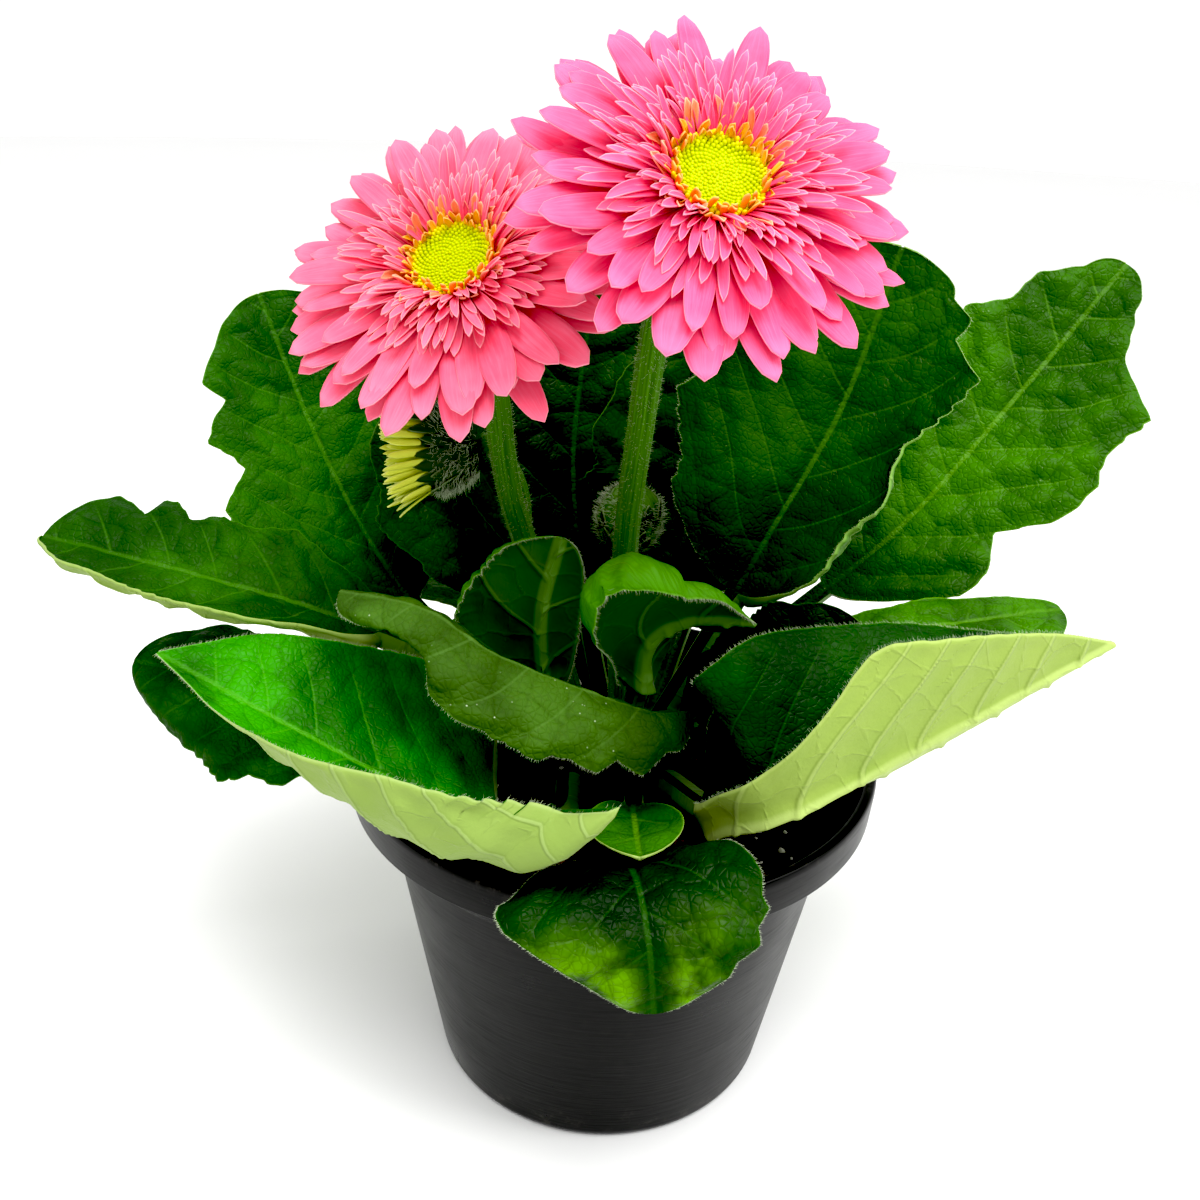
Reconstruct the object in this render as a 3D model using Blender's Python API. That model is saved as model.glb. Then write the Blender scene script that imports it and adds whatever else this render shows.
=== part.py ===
"""A potted gerbera: black pot, root ball, crown, leaves, two open heads and two buds. Millimetres inside,
metres in Blender. The origin is the centre of the pot's foot, on the surface the pot stands on."""

from math import cos, pi, radians, sin

import bpy
import numpy as np
from mathutils import Vector

MM = 0.001

# Pot: a 14 cm thermoformed nursery pot
RIM_RADIUS = 70.0
POT_HEIGHT = 98.0
LIP_HEIGHT = 10.6
NECK_RADIUS = 61.2
FOOT_RADIUS = 47.2
WALL = 1.6
STEP_DROP = 10.0
STEP_OUT = 0.8
RECESS = 1.5
PAD_RADIUS = 12.0
DRAIN_RADIUS = 4.0
DRAIN_CIRCLE = 30.0
DRAIN_COUNT = 8
POT_STEPS = 40

# Root ball and crown
GAP = 0.35
SOIL_TOP = 85.0
SOIL_CHAMFER = 3.0
CROWN_RADIUS = 20.0
CROWN_HEIGHT = 5.2

# Leaves
BLADE_THICKNESS = 0.9
PETIOLE_RADIUS = 2.4
PETIOLE_DEPTH = 3.6
LEAF_ROWS = 17
LEAF_COLUMNS = 7

# Heads
HEAD_RADIUS = 40.0
DISC_RADIUS = 8.0
RING_RADIUS = 12.6
RAY_COUNT = 22
TRANS_COUNT = 20
SHEET_THICKNESS = 0.9
INVOLUCRE_RADIUS = 11.0
INVOLUCRE_DEPTH = 11.5
HEAD_STEPS = 20

# Each leaf: the midrib's route from crown to tip, where the blade starts along it, half widths of the left
# and right halves (looking from base to tip), the way the upper side faces at base and tip, and for each
# half the angle in degrees at which it leaves the midrib and how much further it bends by its margin, each one
# number or several at equal steps of the blade. lobe_left and lobe_right give a half's width at equal steps of
# the blade where it isn't a plain oval, and edge_left and edge_right the lobes and notches on top of that, as
# (share of the blade's length, share of the width).
LEAVES = {
    "leaf_right_tall": dict(
        midrib=[(15, 13, 92), (40, 26, 114), (77, 34, 147), (105, 44, 181), (133, 56, 217)],
        start=0.34, widths=(25, 29), faces=[(-0.35, -0.75, 0.55), (-0.35, -0.85, 0.4)],
        left=(8, 15), right=(8, 5),
        edge_left=[(0, 1), (0.3, 0.9), (0.45, 1.05), (0.52, 0.9), (0.71, 1.1), (0.79, 0.8), (0.87, 0.9), (0.94, 0.65), (1, 0.7)],
        edge_right=[(0, 0.8), (0.12, 1), (0.2, 1.2), (0.27, 1.05), (0.34, 0.7), (0.44, 1.05), (0.55, 1.1), (0.58, 1),
                    (0.65, 1), (0.73, 1.15), (0.81, 0.65), (0.92, 0.57), (0.96, 0.65), (1, 0.7)]),
    "leaf_right_inner": dict(
        midrib=[(9, 4, 95), (22, 5, 122), (37, 8, 153), (53, 14, 186), (63, 16, 225)],
        start=0.34, widths=(37, 36), faces=[(-0.25, -0.9, 0.35), (-0.2, -0.95, 0.2)],
        left=(12, 10), right=(10, (95, 95, 80, 25, 10)),
        edge_right=[(0, 0.9), (0.2, 0.95), (0.3, 0.8), (0.4, 0.85), (0.5, 0.65), (0.55, 0.58), (0.61, 0.62), (0.7, 0.75),
                    (0.76, 0.87), (0.83, 0.65), (0.89, 0.87), (0.92, 0.75), (0.95, 0.85), (1, 0.9)]),
    "leaf_back_centre": dict(
        midrib=[(-2, 13.5, 95), (-9, 34, 120), (-14, 46, 160), (-10, 54, 205)],
        start=0.34, widths=(32, 32), faces=[(0, -0.9, 0.4), (0, -0.95, 0.3)],
        left=(10, 15), right=(10, 15)),
    "leaf_back_right": dict(
        midrib=[(5, 12, 95), (14, 30, 125), (20, 34, 160), (14, 36, 197)],
        start=0.34, widths=(29, 29), faces=[(0, -0.9, 0.4), (0, -0.95, 0.3)],
        left=(10, 15), right=(10, 15)),
    "leaf_back_left": dict(
        midrib=[(-9, 13, 95.5), (-29, 36, 120), (-44, 52, 150), (-50, 62, 186)],
        start=0.34, widths=(27, 27), faces=[(0.2, -0.9, 0.4), (0.2, -0.95, 0.3)],
        left=(10, 15), right=(10, 15)),
    "leaf_left_tall": dict(
        midrib=[(-16, 12, 91), (-40, 23, 106), (-64, 37, 124), (-87, 55, 156), (-106, 70, 197)],
        start=0.36, widths=(29, 29), faces=[(0.45, -0.6, 0.65), (0.4, -0.8, 0.4)],
        left=(8, 10), right=(8, 10),
        edge_left=[(0, 1), (0.3, 1), (0.37, 1.25), (0.44, 1.2), (0.53, 0.78), (0.58, 0.85), (0.63, 1.02), (0.67, 0.95),
                   (0.73, 0.78), (0.79, 1), (0.88, 0.9), (0.95, 0.85), (1, 0.8)]),
    "leaf_left_far": dict(
        midrib=[(-18, 5, 92), (-42, 2, 115), (-72, 0, 130), (-112, 4, 139), (-150, 10, 145)],
        start=0.38, widths=(26, 25), faces=[(0.1, -0.35, 0.93), (0, -0.35, 0.93)],
        left=(5, 80), right=(5, 5),
        edge_left=[(0, 1), (0.4, 0.9), (0.55, 0.85), (0.67, 0.9), (0.83, 0.85), (0.96, 0.55), (1, 0.55)],
        edge_right=[(0, 0.9), (0.2, 0.8), (0.33, 0.9), (0.45, 0.7), (0.57, 0.75), (0.63, 0.6), (0.7, 0.85), (0.74, 0.87),
                    (0.77, 0.62), (0.87, 1), (1, 1)]),
    "leaf_front_left": dict(
        midrib=[(-12, -13, 92), (-13, -33, 96), (-24, -42, 100), (-44, -42, 105), (-74, -38, 119), (-109, -27, 132)],
        start=0.30, widths=(48, 24), faces=[(0.1, -0.1, 0.98), (0.2, -0.3, 0.9)],
        left=(5, (108, 112, 105, 80, 30, 5)), right=(5, 12), bend=1.5, sweep=-0.55,
        lobe_left=(0.85, 1, 0.92, 0.62, 0.28, 0.1, 0),
        edge_left=[(0, 0.9), (0.05, 1.2), (0.1, 0.9), (0.3, 1), (1, 1)],
        edge_right=[(0, 1), (0.5, 1), (0.7, 0.85), (0.9, 0.8), (1, 0.9)]),
    "leaf_arched": dict(
        midrib=[(7, -6, 95), (15, -12, 110), (18, -20, 118), (6, -28, 123), (-26, -32, 137), (-45, -30, 148), (-66, -22, 148)],
        start=0.24, widths=(22, 15), faces=[(0.2, -0.3, 0.9), (0.1, -0.3, 0.9)],
        left=(-20, -30), right=(-35, -30),
        edge_left=[(0, 0.8), (0.2, 0.85), (0.45, 0.82), (0.64, 0.75), (0.8, 0.6), (1, 0.8)]),
    "leaf_young_left": dict(
        midrib=[(-8, -5, 95), (-17, -6, 114), (-19.5, -7, 136), (-15, -6, 157)],
        start=0.34, widths=(8, 25), faces=[(0.1, 0.95, 0.3), (0.1, 0.95, 0.3)],
        left=(5, 10), right=(-10, -20)),
    "leaf_young_right": dict(
        midrib=[(2, -9, 95), (5, -10, 120), (8, -12, 134), (18, -14, 140), (33, -15, 140)],
        start=0.36, widths=(12, 36), faces=[(-0.3, 0.8, 0.5), (-0.3, 0.8, 0.5)],
        lobe_right=(0.1, 0.2, 0.45, 1, 0.5, 0.25, 0),
        left=(15, 20), right=(15, 20)),
    "leaf_front_right": dict(
        midrib=[(14, -10, 91), (27, -37, 99), (42, -48, 110), (77, -38, 126), (117, -22, 142)],
        start=0.16, widths=(42, 31), faces=[(-0.2, -0.1, 0.97), (-0.2, -0.2, 0.95)],
        left=((65, 60, 40, 15, 0), 10), right=((30, 80, 85, 85, 85), 12), sweep=-0.25,
        lobe_left=(0.7, 1, 0.95, 0.8, 0.6, 0.4, 0), lobe_right=(0.6, 0.35, 0.4, 0.72, 1, 0.85, 0.62, 0.35, 0),
        edge_left=[(0, 1), (1, 1)], edge_right=[(0, 1), (1, 1)]),
    "leaf_front_small": dict(
        midrib=[(6, -17, 91), (5, -39, 101), (6, -62, 105)],
        start=0.45, widths=(10, 10), faces=[(0, -0.4, 0.9), (0, -0.4, 0.9)],
        left=(5, 20), right=(5, 20), edge_left=[(0, 1), (1, 1)], edge_right=[(0, 1), (1, 1)]),
    "leaf_front_drooping": dict(
        midrib=[(-1, -18, 91), (1, -44, 93), (5, -66, 103), (8, -80, 97), (10, -85, 80)],
        start=0.40, widths=(25, 25), faces=[(0, -0.2, 0.98), (0, -0.9, 0.4)],
        left=(3, -5), right=(3, -5),
        edge_left=[(0, 1), (0.48, 1.01), (0.56, 0.96), (0.61, 1.01), (0.67, 0.92), (0.73, 0.96), (0.78, 0.79), (0.84, 0.79),
                   (0.93, 0.61), (1, 0.45)],
        edge_right=[(0, 1.2), (0.3, 1.25), (0.45, 1.22), (0.55, 1.14), (0.68, 0.92), (0.86, 0.66), (0.94, 0.5), (1, 0.45)]),
    "leaf_left_low": dict(
        midrib=[(-17, -6, 90), (-42, -6, 102), (-72, -4, 107), (-100, 0, 109), (-128, 3, 113)],
        start=0.40, widths=(27, 18), faces=[(0, -0.1, 0.98), (0, -0.3, 0.95)],
        left=(-8, -45), right=(5, 5),
        edge_left=[(0, 1.0), (0.15, 1.0), (0.23, 1.05), (0.29, 1.1), (0.4, 0.9), (0.51, 0.97), (0.61, 0.8), (0.78, 0.7), (1, 0.55)]),
    "leaf_right_low": dict(
        midrib=[(18, 3, 91), (38, -2, 118), (60, -1, 129), (90, 5, 133), (116, 9, 136)],
        start=0.36, widths=(8, 20), faces=[(0, -0.2, 0.98), (0, -0.2, 0.98)],
        left=(5, 5), right=(5, 5)),
    "leaf_heart_right": dict(
        midrib=[(12.5, -4, 93), (26, -12, 109), (43, -15.5, 124), (60, -14, 139)],
        start=0.20, widths=(19, 20), faces=[(-0.3, -0.75, 0.6), (-0.3, -0.75, 0.6)],
        left=(10, 15), right=(10, 15)),
    "leaf_rear_right": dict(
        midrib=[(10, 17, 91), (26, 58, 118), (46, 96, 135), (58, 128, 138)],
        start=0.36, widths=(26, 26), faces=[(0, -0.3, 0.95), (0, 0.1, 0.99)],
        left=(8, 5), right=(8, 5)),
    "leaf_rear": dict(
        midrib=[(2, 20, 91), (-2, 60, 112), (-8, 100, 124), (-10, 136, 126)],
        start=0.36, widths=(24, 26), faces=[(0, -0.3, 0.95), (0, 0.1, 0.99)],
        left=(8, 5), right=(8, 5)),
    "leaf_rear_left": dict(
        midrib=[(-6, 19, 91), (-34, 56, 108), (-62, 88, 116), (-84, 110, 116)],
        start=0.36, widths=(26, 24), faces=[(0, -0.3, 0.95), (0, 0.1, 0.99)],
        left=(8, 5), right=(8, 5)),
}

# Each open head: the middle of its disc, the way it faces, and the route and radius of the scape below it
HEADS = {
    "front_head": dict(
        centre=(13.5, -45, 245), facing=(0.19, -0.67, 0.72),
        scape=[(2, 2, 95), (1, 7, 148), (3, -6, 186), (5, -23, 216), (9, -30, 230)]),
    "rear_head": dict(
        centre=(-39, -15, 223), facing=(-0.25, -0.66, 0.71),
        scape=[(-9, 6, 95), (-23, 13, 140), (-29, 7, 165), (-31, -1, 188), (-34, -4, 207)]),
}
SCAPE_RADIUS = 3.1

# Opening bud, lying behind the rear head's scape, and a small closed bud
OPEN_BUD = dict(centre=(-46, 10, 173), facing=(-0.96, -0.2, -0.12),
                stalk=[(-15, 8.5, 97), (-25, 21, 128), (-27, 20, 158), (-34, 13, 173)])
SMALL_BUD = dict(centre=(2, 21, 152), facing=(0.15, -0.1, 0.98),
                 stalk=[(0, 9, 95), (2, 15, 120), (1, 20, 141)])
STALK_RADIUS = 2.2


def clear_scene():
    for obj in list(bpy.data.objects):
        bpy.data.objects.remove(obj, do_unlink=True)


def material(name, colour, roughness=0.5):
    made = bpy.data.materials.new(name)
    made.use_nodes = True
    shader = made.node_tree.nodes["Principled BSDF"]
    shader.inputs["Base Color"].default_value = (*colour, 1)
    shader.inputs["Roughness"].default_value = roughness
    made.diffuse_color = (*colour, 1)
    return made


def place(name, mesh, finish, parent=None):
    made = bpy.data.objects.new(name, mesh)
    bpy.context.collection.objects.link(made)
    made.data.materials.append(finish)
    made.parent = parent
    return made


def thicken(made, thickness, weights=None):
    """Gives a sheet its thickness, away from its upper side; weights thin it out where they are below 1."""
    wall = made.modifiers.new("thickness", "SOLIDIFY")
    wall.thickness = thickness * MM
    wall.offset = -1
    if weights is not None:
        group = made.vertex_groups.new(name="thickness")
        for index, weight in enumerate(weights):
            group.add([index], float(weight), "REPLACE")
        wall.vertex_group = group.name
    return made


def grid_mesh(name, points, closed=False):
    """A mesh of quads through a (rows, columns, 3) array in millimetres. closed joins the last column to the
    first."""
    rows, columns = points.shape[:2]
    mesh = bpy.data.meshes.new(name)
    faces = []
    for i in range(rows - 1):
        for j in range(columns - (0 if closed else 1)):
            k = (j + 1) % columns
            faces.append((i * columns + j, (i + 1) * columns + j, (i + 1) * columns + k, i * columns + k))
    mesh.from_pydata((points.reshape(-1, 3) * MM).tolist(), [], faces)
    mesh.shade_smooth()
    return mesh


def unit(vectors):
    return vectors / np.linalg.norm(vectors, axis=-1, keepdims=True)


def smooth_route(points, count):
    """Catmull-Rom curve through the points, read at equal steps of its length."""
    knots = np.array(points, float)
    ends = np.vstack([2 * knots[0] - knots[1], knots, 2 * knots[-1] - knots[-2]])
    t = np.linspace(0, 1, 24, endpoint=False)[:, None]
    runs = []
    for a, b, c, d in zip(ends[:-3], ends[1:-2], ends[2:-1], ends[3:]):
        cubic = (2 * a - 5 * b + 4 * c - d) * t**2 + (3 * b - a - 3 * c + d) * t**3
        runs.append(0.5 * (2 * b + (c - a) * t + cubic))
    fine = np.vstack(runs + [knots[-1:]])
    length = np.append(0, np.cumsum(np.linalg.norm(np.diff(fine, axis=0), axis=1)))
    at = np.linspace(0, length[-1], count)
    return np.stack([np.interp(at, length, fine[:, axis]) for axis in range(3)], axis=1)


def smooth_values(knots, f):
    """The same curve through numbers at equal steps, read at the fractions f."""
    knots = np.array(knots, float)
    ends = np.concatenate([[2 * knots[0] - knots[1]], knots, [2 * knots[-1] - knots[-2]]])
    at = np.clip(f, 0, 0.9999) * (len(knots) - 1)
    i = at.astype(int)
    t = at - i
    a, b, c, d = ends[i], ends[i + 1], ends[i + 2], ends[i + 3]
    cubic = (2 * a - 5 * b + 4 * c - d) * t**2 + (3 * b - a - 3 * c + d) * t**3
    return np.maximum(0.5 * (2 * b + (c - a) * t + cubic), 0)


def oval(f, rise=0.62, fall=0.5):
    """Width of a blade along its length: f^rise (1-f)^fall, scaled to 1 at its widest."""
    peak = rise / (rise + fall)
    return (f / peak) ** rise * ((1 - f) / (1 - peak)) ** fall


def half_section(angle, bend, power, across):
    """Walks out from the midrib along one half of a blade whose angle grows from angle by bend (degrees)
    at the margin. Gives the distance out, the height and the angle, each per unit of half width."""
    steps = np.linspace(0, 1, 33)
    turn = np.radians(angle[:, None] + bend[:, None] * steps**power)
    out = np.cumsum(np.cos(turn), axis=1)
    out = (out - out[:, :1]) / 32
    up = np.cumsum(np.sin(turn), axis=1)
    up = (up - up[:, :1]) / 32
    index = np.rint(across * 32).astype(int)
    return out[:, index], up[:, index], turn[:, index]


def at_steps(values, blade):
    """Numbers given at equal steps from the blade's base to its tip, read between them."""
    values = np.atleast_1d(np.array(values, float))
    return np.interp(blade, np.linspace(0, 1, len(values)), values)


def leaf_surface(leaf, rows, columns):
    """The upper side of a leaf: its rows cross the midrib from margin to margin. Gives the points and how
    much of the petiole's depth each has."""
    middle = smooth_route(leaf["midrib"], rows)
    along = np.linspace(0, 1, rows)
    blade = np.clip((along - leaf["start"]) / (1 - leaf["start"]), 0, 1)
    tangent = unit(np.gradient(middle, axis=0))
    base_face, tip_face = unit(np.array(leaf["faces"], float))
    face = base_face * (1 - blade[:, None]) + tip_face * blade[:, None]
    side = unit(np.cross(tangent, face))
    normal = unit(np.cross(side, tangent))
    across = np.linspace(-1, 1, columns)
    petiole = PETIOLE_RADIUS * (1 - 0.75 * blade[:, None])
    width = np.zeros((rows, columns))
    out, up = np.zeros((rows, columns)), np.zeros((rows, columns))
    for sign, key, size in ((-1, "left", leaf["widths"][0]), (1, "right", leaf["widths"][1])):
        half = across >= 0 if sign > 0 else across < 0
        lobe = leaf.get("lobe_" + key)
        if lobe is None:
            profile = oval(np.clip(blade, 0, 0.995))
        else:
            profile = smooth_values(lobe, blade) * np.clip(blade / 0.05, 0, 1)
        edge = np.array(leaf.get("edge_" + key, [(0, 1), (1, 1)]), float)
        push = np.interp(blade, edge[:, 0], edge[:, 1])[:, None] - 1
        width[:, half] = petiole + size * profile[:, None] * (1 + push * np.abs(across[half]))
        angle, bend = (at_steps(knots, blade) for knots in leaf[key])
        part_out, part_up, _ = half_section(angle, bend, leaf.get("bend", 2.0), np.abs(across[half]))
        out[:, half] = sign * part_out * width[:, half]
        up[:, half] = part_up * width[:, half]
    points = middle[:, None] + side[:, None] * out[..., None] + normal[:, None] * up[..., None]
    back = leaf.get("sweep", 0) * np.where(across < 0, np.abs(across) ** 1.5, 0) * width
    points += tangent[:, None] * (back * np.clip(1 - 1.6 * blade, 0, 1)[:, None])[..., None]
    thin = BLADE_THICKNESS / PETIOLE_DEPTH
    rib = np.clip(1 - np.abs(across) * 2, 0, 1)[None] * np.clip(1 - 2 * blade, 0, 1)[:, None]
    stalk = np.clip(1 - 8 * blade, 0, 1)[:, None]
    return points, np.clip(thin + (1 - thin) * np.maximum(0.5 * rib, stalk), 0, 1)


def make_leaf(name, leaf, finish):
    points, depth = leaf_surface(leaf, LEAF_ROWS, LEAF_COLUMNS)
    made = place(name, grid_mesh(name, points[:, ::-1]), finish)
    return thicken(made, PETIOLE_DEPTH, depth[:, ::-1].reshape(-1))


def turned(name, profile, finish, steps, parent=None, ring=False):
    """A turned piece: the profile (radius, height) runs from the axis out and down its outer side. A ring's
    profile closes on itself instead."""
    mesh = bpy.data.meshes.new(name)
    edges = [(i, i + 1) for i in range(len(profile) - 1)]
    if ring:
        edges.append((len(profile) - 1, 0))
    mesh.from_pydata([(radius * MM, 0, height * MM) for radius, height in profile], edges, [])
    made = place(name, mesh, finish, parent)
    screw = made.modifiers.new("turn", "SCREW")
    screw.steps = steps
    screw.render_steps = steps
    screw.use_merge_vertices = True
    screw.merge_threshold = 0.0001
    screw.use_smooth_shade = True
    return made


def tube(name, route, radius, finish):
    points = smooth_route(route, 14)
    curve = bpy.data.curves.new(name, "CURVE")
    curve.dimensions = "3D"
    curve.bevel_depth = radius * MM
    curve.bevel_resolution = 2
    curve.use_fill_caps = True
    spline = curve.splines.new("POLY")
    spline.points.add(len(points) - 1)
    for point, place_of in zip(spline.points, points * MM):
        point.co = (*place_of, 1)
    return place(name, curve, finish)


def whorl(name, count, inner, waist, outer, rise, finish, parent, turn=0.0):
    """One ring of ray florets joined at their feet: a flat collar from inner to waist, then count blunt
    rays out to outer. rise gives the height at the three radii."""
    angles = []
    reach = []
    for k in range(count):
        for part, far in ((0.0, False), (0.3, True), (0.7, True)):
            angles.append((k + part + turn) * 2 * pi / count)
            reach.append(far)
    angles, reach = np.array(angles), np.array(reach)
    radii = np.stack([
        np.full(len(angles), inner),
        np.full(len(angles), waist),
        np.where(reach, outer, waist * 1.08),
    ])
    heights = np.stack([
        np.full(len(angles), rise[0]),
        np.full(len(angles), rise[1]),
        np.where(reach, rise[2], rise[1]),
    ])
    points = np.stack([radii * np.cos(angles), radii * np.sin(angles), heights], axis=-1)
    return thicken(place(name, grid_mesh(name, points, closed=True), finish, parent), SHEET_THICKNESS)


def facing_empty(name, centre, facing):
    """An empty whose +Z is the way a head or bud faces; its pieces are its children."""
    made = bpy.data.objects.new(name, None)
    bpy.context.collection.objects.link(made)
    made.location = Vector(centre) * MM
    made.rotation_euler = Vector(facing).to_track_quat("Z", "Y").to_euler()
    return made


def make_pot(finish):
    slope = (NECK_RADIUS - FOOT_RADIUS) / (POT_HEIGHT - LIP_HEIGHT)
    ledge = POT_HEIGHT - LIP_HEIGHT - STEP_DROP
    neck_low = FOOT_RADIUS + slope * ledge
    profile = [
        (0, RECESS + WALL),
        (FOOT_RADIUS - WALL, RECESS + WALL),
        (neck_low - WALL, ledge),
        (NECK_RADIUS - WALL, POT_HEIGHT - LIP_HEIGHT + WALL),
        (RIM_RADIUS - 3.2, POT_HEIGHT - 1.0),
        (RIM_RADIUS - 2.2, POT_HEIGHT),
        (RIM_RADIUS - 0.6, POT_HEIGHT),
        (RIM_RADIUS, POT_HEIGHT - 1.2),
        (RIM_RADIUS - 0.5, POT_HEIGHT - LIP_HEIGHT),
        (NECK_RADIUS + STEP_OUT, POT_HEIGHT - LIP_HEIGHT),
        (neck_low + STEP_OUT, ledge + 0.6),
        (neck_low, ledge - 0.4),
        (FOOT_RADIUS, 2.0),
        (FOOT_RADIUS - 1.4, 0),
        (FOOT_RADIUS - 5.0, 0),
        (FOOT_RADIUS - 6.5, RECESS),
        (PAD_RADIUS + 1.5, RECESS),
        (PAD_RADIUS, 0),
        (0, 0),
    ]
    pot = turned("pot", profile, finish, POT_STEPS)
    for k in range(DRAIN_COUNT):
        angle = 2 * pi * (k + 0.3) / DRAIN_COUNT
        bpy.ops.mesh.primitive_cylinder_add(
            vertices=10, radius=DRAIN_RADIUS * MM, depth=8 * MM,
            location=(DRAIN_CIRCLE * MM * cos(angle), DRAIN_CIRCLE * MM * sin(angle), RECESS * MM))
        cutter = bpy.context.object
        cutter.name = f"drain_cutter_{k}"
        cutter.hide_render = True
        cutter.display_type = "WIRE"
        cut = pot.modifiers.new(f"drain_{k}", "BOOLEAN")
        cut.operation = "DIFFERENCE"
        cut.object = cutter
    return pot


def make_root_ball(finish):
    slope = (NECK_RADIUS - FOOT_RADIUS) / (POT_HEIGHT - LIP_HEIGHT)
    bottom = RECESS + WALL + GAP
    inside = FOOT_RADIUS - WALL - GAP - 0.4
    top_radius = inside + slope * SOIL_TOP
    profile = [
        (0, SOIL_TOP),
        (top_radius - SOIL_CHAMFER, SOIL_TOP - 0.5),
        (top_radius - 0.5, SOIL_TOP - SOIL_CHAMFER),
        (inside, bottom),
        (0, bottom),
    ]
    return turned("root_ball", profile, finish, 24)


def make_crown(finish):
    base = SOIL_TOP + GAP
    profile = [
        (0, base + CROWN_HEIGHT),
        (9, base + CROWN_HEIGHT * 0.9),
        (13, base + CROWN_HEIGHT * 0.35),
        (CROWN_RADIUS, base + 0.8),
        (CROWN_RADIUS, base),
        (0, base),
    ]
    return turned("crown", profile, finish, 20)


def make_head(name, head, finishes):
    frame = facing_empty(name, head["centre"], head["facing"])
    involucre = [
        (0, -5.6),
        (INVOLUCRE_RADIUS, -5.6),
        (INVOLUCRE_RADIUS - 0.6, -8.5),
        (INVOLUCRE_RADIUS * 0.72, -5.6 - INVOLUCRE_DEPTH * 0.75),
        (INVOLUCRE_RADIUS * 0.36, -5.6 - INVOLUCRE_DEPTH),
        (0, -5.6 - INVOLUCRE_DEPTH),
    ]
    turned(f"{name}_involucre", involucre, finishes["green"], HEAD_STEPS, frame)
    whorl(f"{name}_lower_rays", RAY_COUNT, 6, 17, HEAD_RADIUS, (-4.4, -4.6, -5.0), finishes["pink"], frame)
    whorl(f"{name}_upper_rays", RAY_COUNT, 6, 16, HEAD_RADIUS - 4, (-3.0, -2.6, -1.8),
          finishes["pink"], frame, turn=0.5)
    whorl(f"{name}_trans_florets", TRANS_COUNT, 6, 14, HEAD_RADIUS * 0.61, (-1.5, -0.8, 1.4),
          finishes["pink"], frame)
    ring = [
        (DISC_RADIUS + 0.6, 1.6),
        (RING_RADIUS, 2.6),
        (RING_RADIUS - 0.4, 0.1),
        (DISC_RADIUS + 0.6, -0.2),
    ]
    turned(f"{name}_ring_florets", ring, finishes["orange"], HEAD_STEPS, frame, ring=True)
    disc = [
        (0, 1.0),
        (DISC_RADIUS * 0.7, 1.4),
        (DISC_RADIUS, 0.6),
        (DISC_RADIUS - 0.8, -0.9),
        (0, -0.9),
    ]
    turned(f"{name}_disc", disc, finishes["lime"], HEAD_STEPS, frame)
    tube(f"{name}_scape", head["scape"], SCAPE_RADIUS, finishes["green"])


def make_buds(finishes):
    frame = facing_empty("open_bud", OPEN_BUD["centre"], OPEN_BUD["facing"])
    cup = [(0, 3.0), (10.5, 3.0), (11.5, 0), (9.5, -6.0), (4.0, -9.5), (0, -9.5)]
    turned("open_bud_involucre", cup, finishes["green"], 16, frame)
    whorl_of_bud = [(0, 9.0), (9.0, 13.0), (13.0, 12.5), (9.5, 3.4), (0, 3.4)]
    turned("open_bud_rays", whorl_of_bud, finishes["lime"], 16, frame)
    tube("open_bud_scape", OPEN_BUD["stalk"], STALK_RADIUS, finishes["green"])
    frame = facing_empty("small_bud", SMALL_BUD["centre"], SMALL_BUD["facing"])
    ball = [(0, 9.5), (4.5, 8.6), (8.0, 4.0), (8.6, -1.0), (6.0, -7.0), (2.5, -9.0), (0, -9.0)]
    turned("small_bud_head", ball, finishes["green"], 16, frame)
    tube("small_bud_scape", SMALL_BUD["stalk"], STALK_RADIUS, finishes["green"])


def main():
    clear_scene()
    finishes = {
        "green": material("leaf green", (0.05, 0.17, 0.02), 0.45),
        "pink": material("ray pink", (0.85, 0.08, 0.25), 0.5),
        "orange": material("ring orange", (0.9, 0.3, 0.1), 0.6),
        "lime": material("disc lime", (0.6, 0.75, 0.02), 0.6),
    }
    make_pot(material("black plastic", (0.012, 0.012, 0.013), 0.35))
    make_root_ball(material("potting mix", (0.03, 0.018, 0.01), 0.95))
    make_crown(finishes["green"])
    for name, leaf in LEAVES.items():
        make_leaf(name, leaf, finishes["green"])
    for name, head in HEADS.items():
        make_head(name, head, finishes)
    make_buds(finishes)


main()
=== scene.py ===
# %% [markdown]
# # A potted gerbera
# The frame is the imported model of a 14 cm nursery pot with one gerbera in it: twenty leaves, two open heads
# and two buds. Every piece below grows on that frame and takes the place of one of its plain solids. Lengths
# are in millimetres inside the functions and become metres when a mesh is made.

import bpy
import numpy as np
from mathutils import Matrix, Vector


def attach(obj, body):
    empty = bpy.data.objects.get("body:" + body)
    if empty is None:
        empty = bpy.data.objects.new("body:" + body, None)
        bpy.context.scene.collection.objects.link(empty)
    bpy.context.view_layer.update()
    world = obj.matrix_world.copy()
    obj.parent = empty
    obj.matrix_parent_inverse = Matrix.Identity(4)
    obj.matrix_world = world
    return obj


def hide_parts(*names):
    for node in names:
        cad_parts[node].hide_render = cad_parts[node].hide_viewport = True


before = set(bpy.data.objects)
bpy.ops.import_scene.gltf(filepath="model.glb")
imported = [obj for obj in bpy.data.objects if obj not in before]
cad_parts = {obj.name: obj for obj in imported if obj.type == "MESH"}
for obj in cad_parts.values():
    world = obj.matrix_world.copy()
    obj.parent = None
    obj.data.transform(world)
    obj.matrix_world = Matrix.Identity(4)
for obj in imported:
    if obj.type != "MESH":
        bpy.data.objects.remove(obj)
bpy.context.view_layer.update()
MM = 0.001

# %% [markdown]
# ## Camera
# A phone held above and in front of the plant sees the pot's lip as a wide oval. The camera is placed by
# three turns (to the side, down, and a small roll), which is easier to judge than a matrix of nine numbers,
# and the matrix is then built from them.

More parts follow.
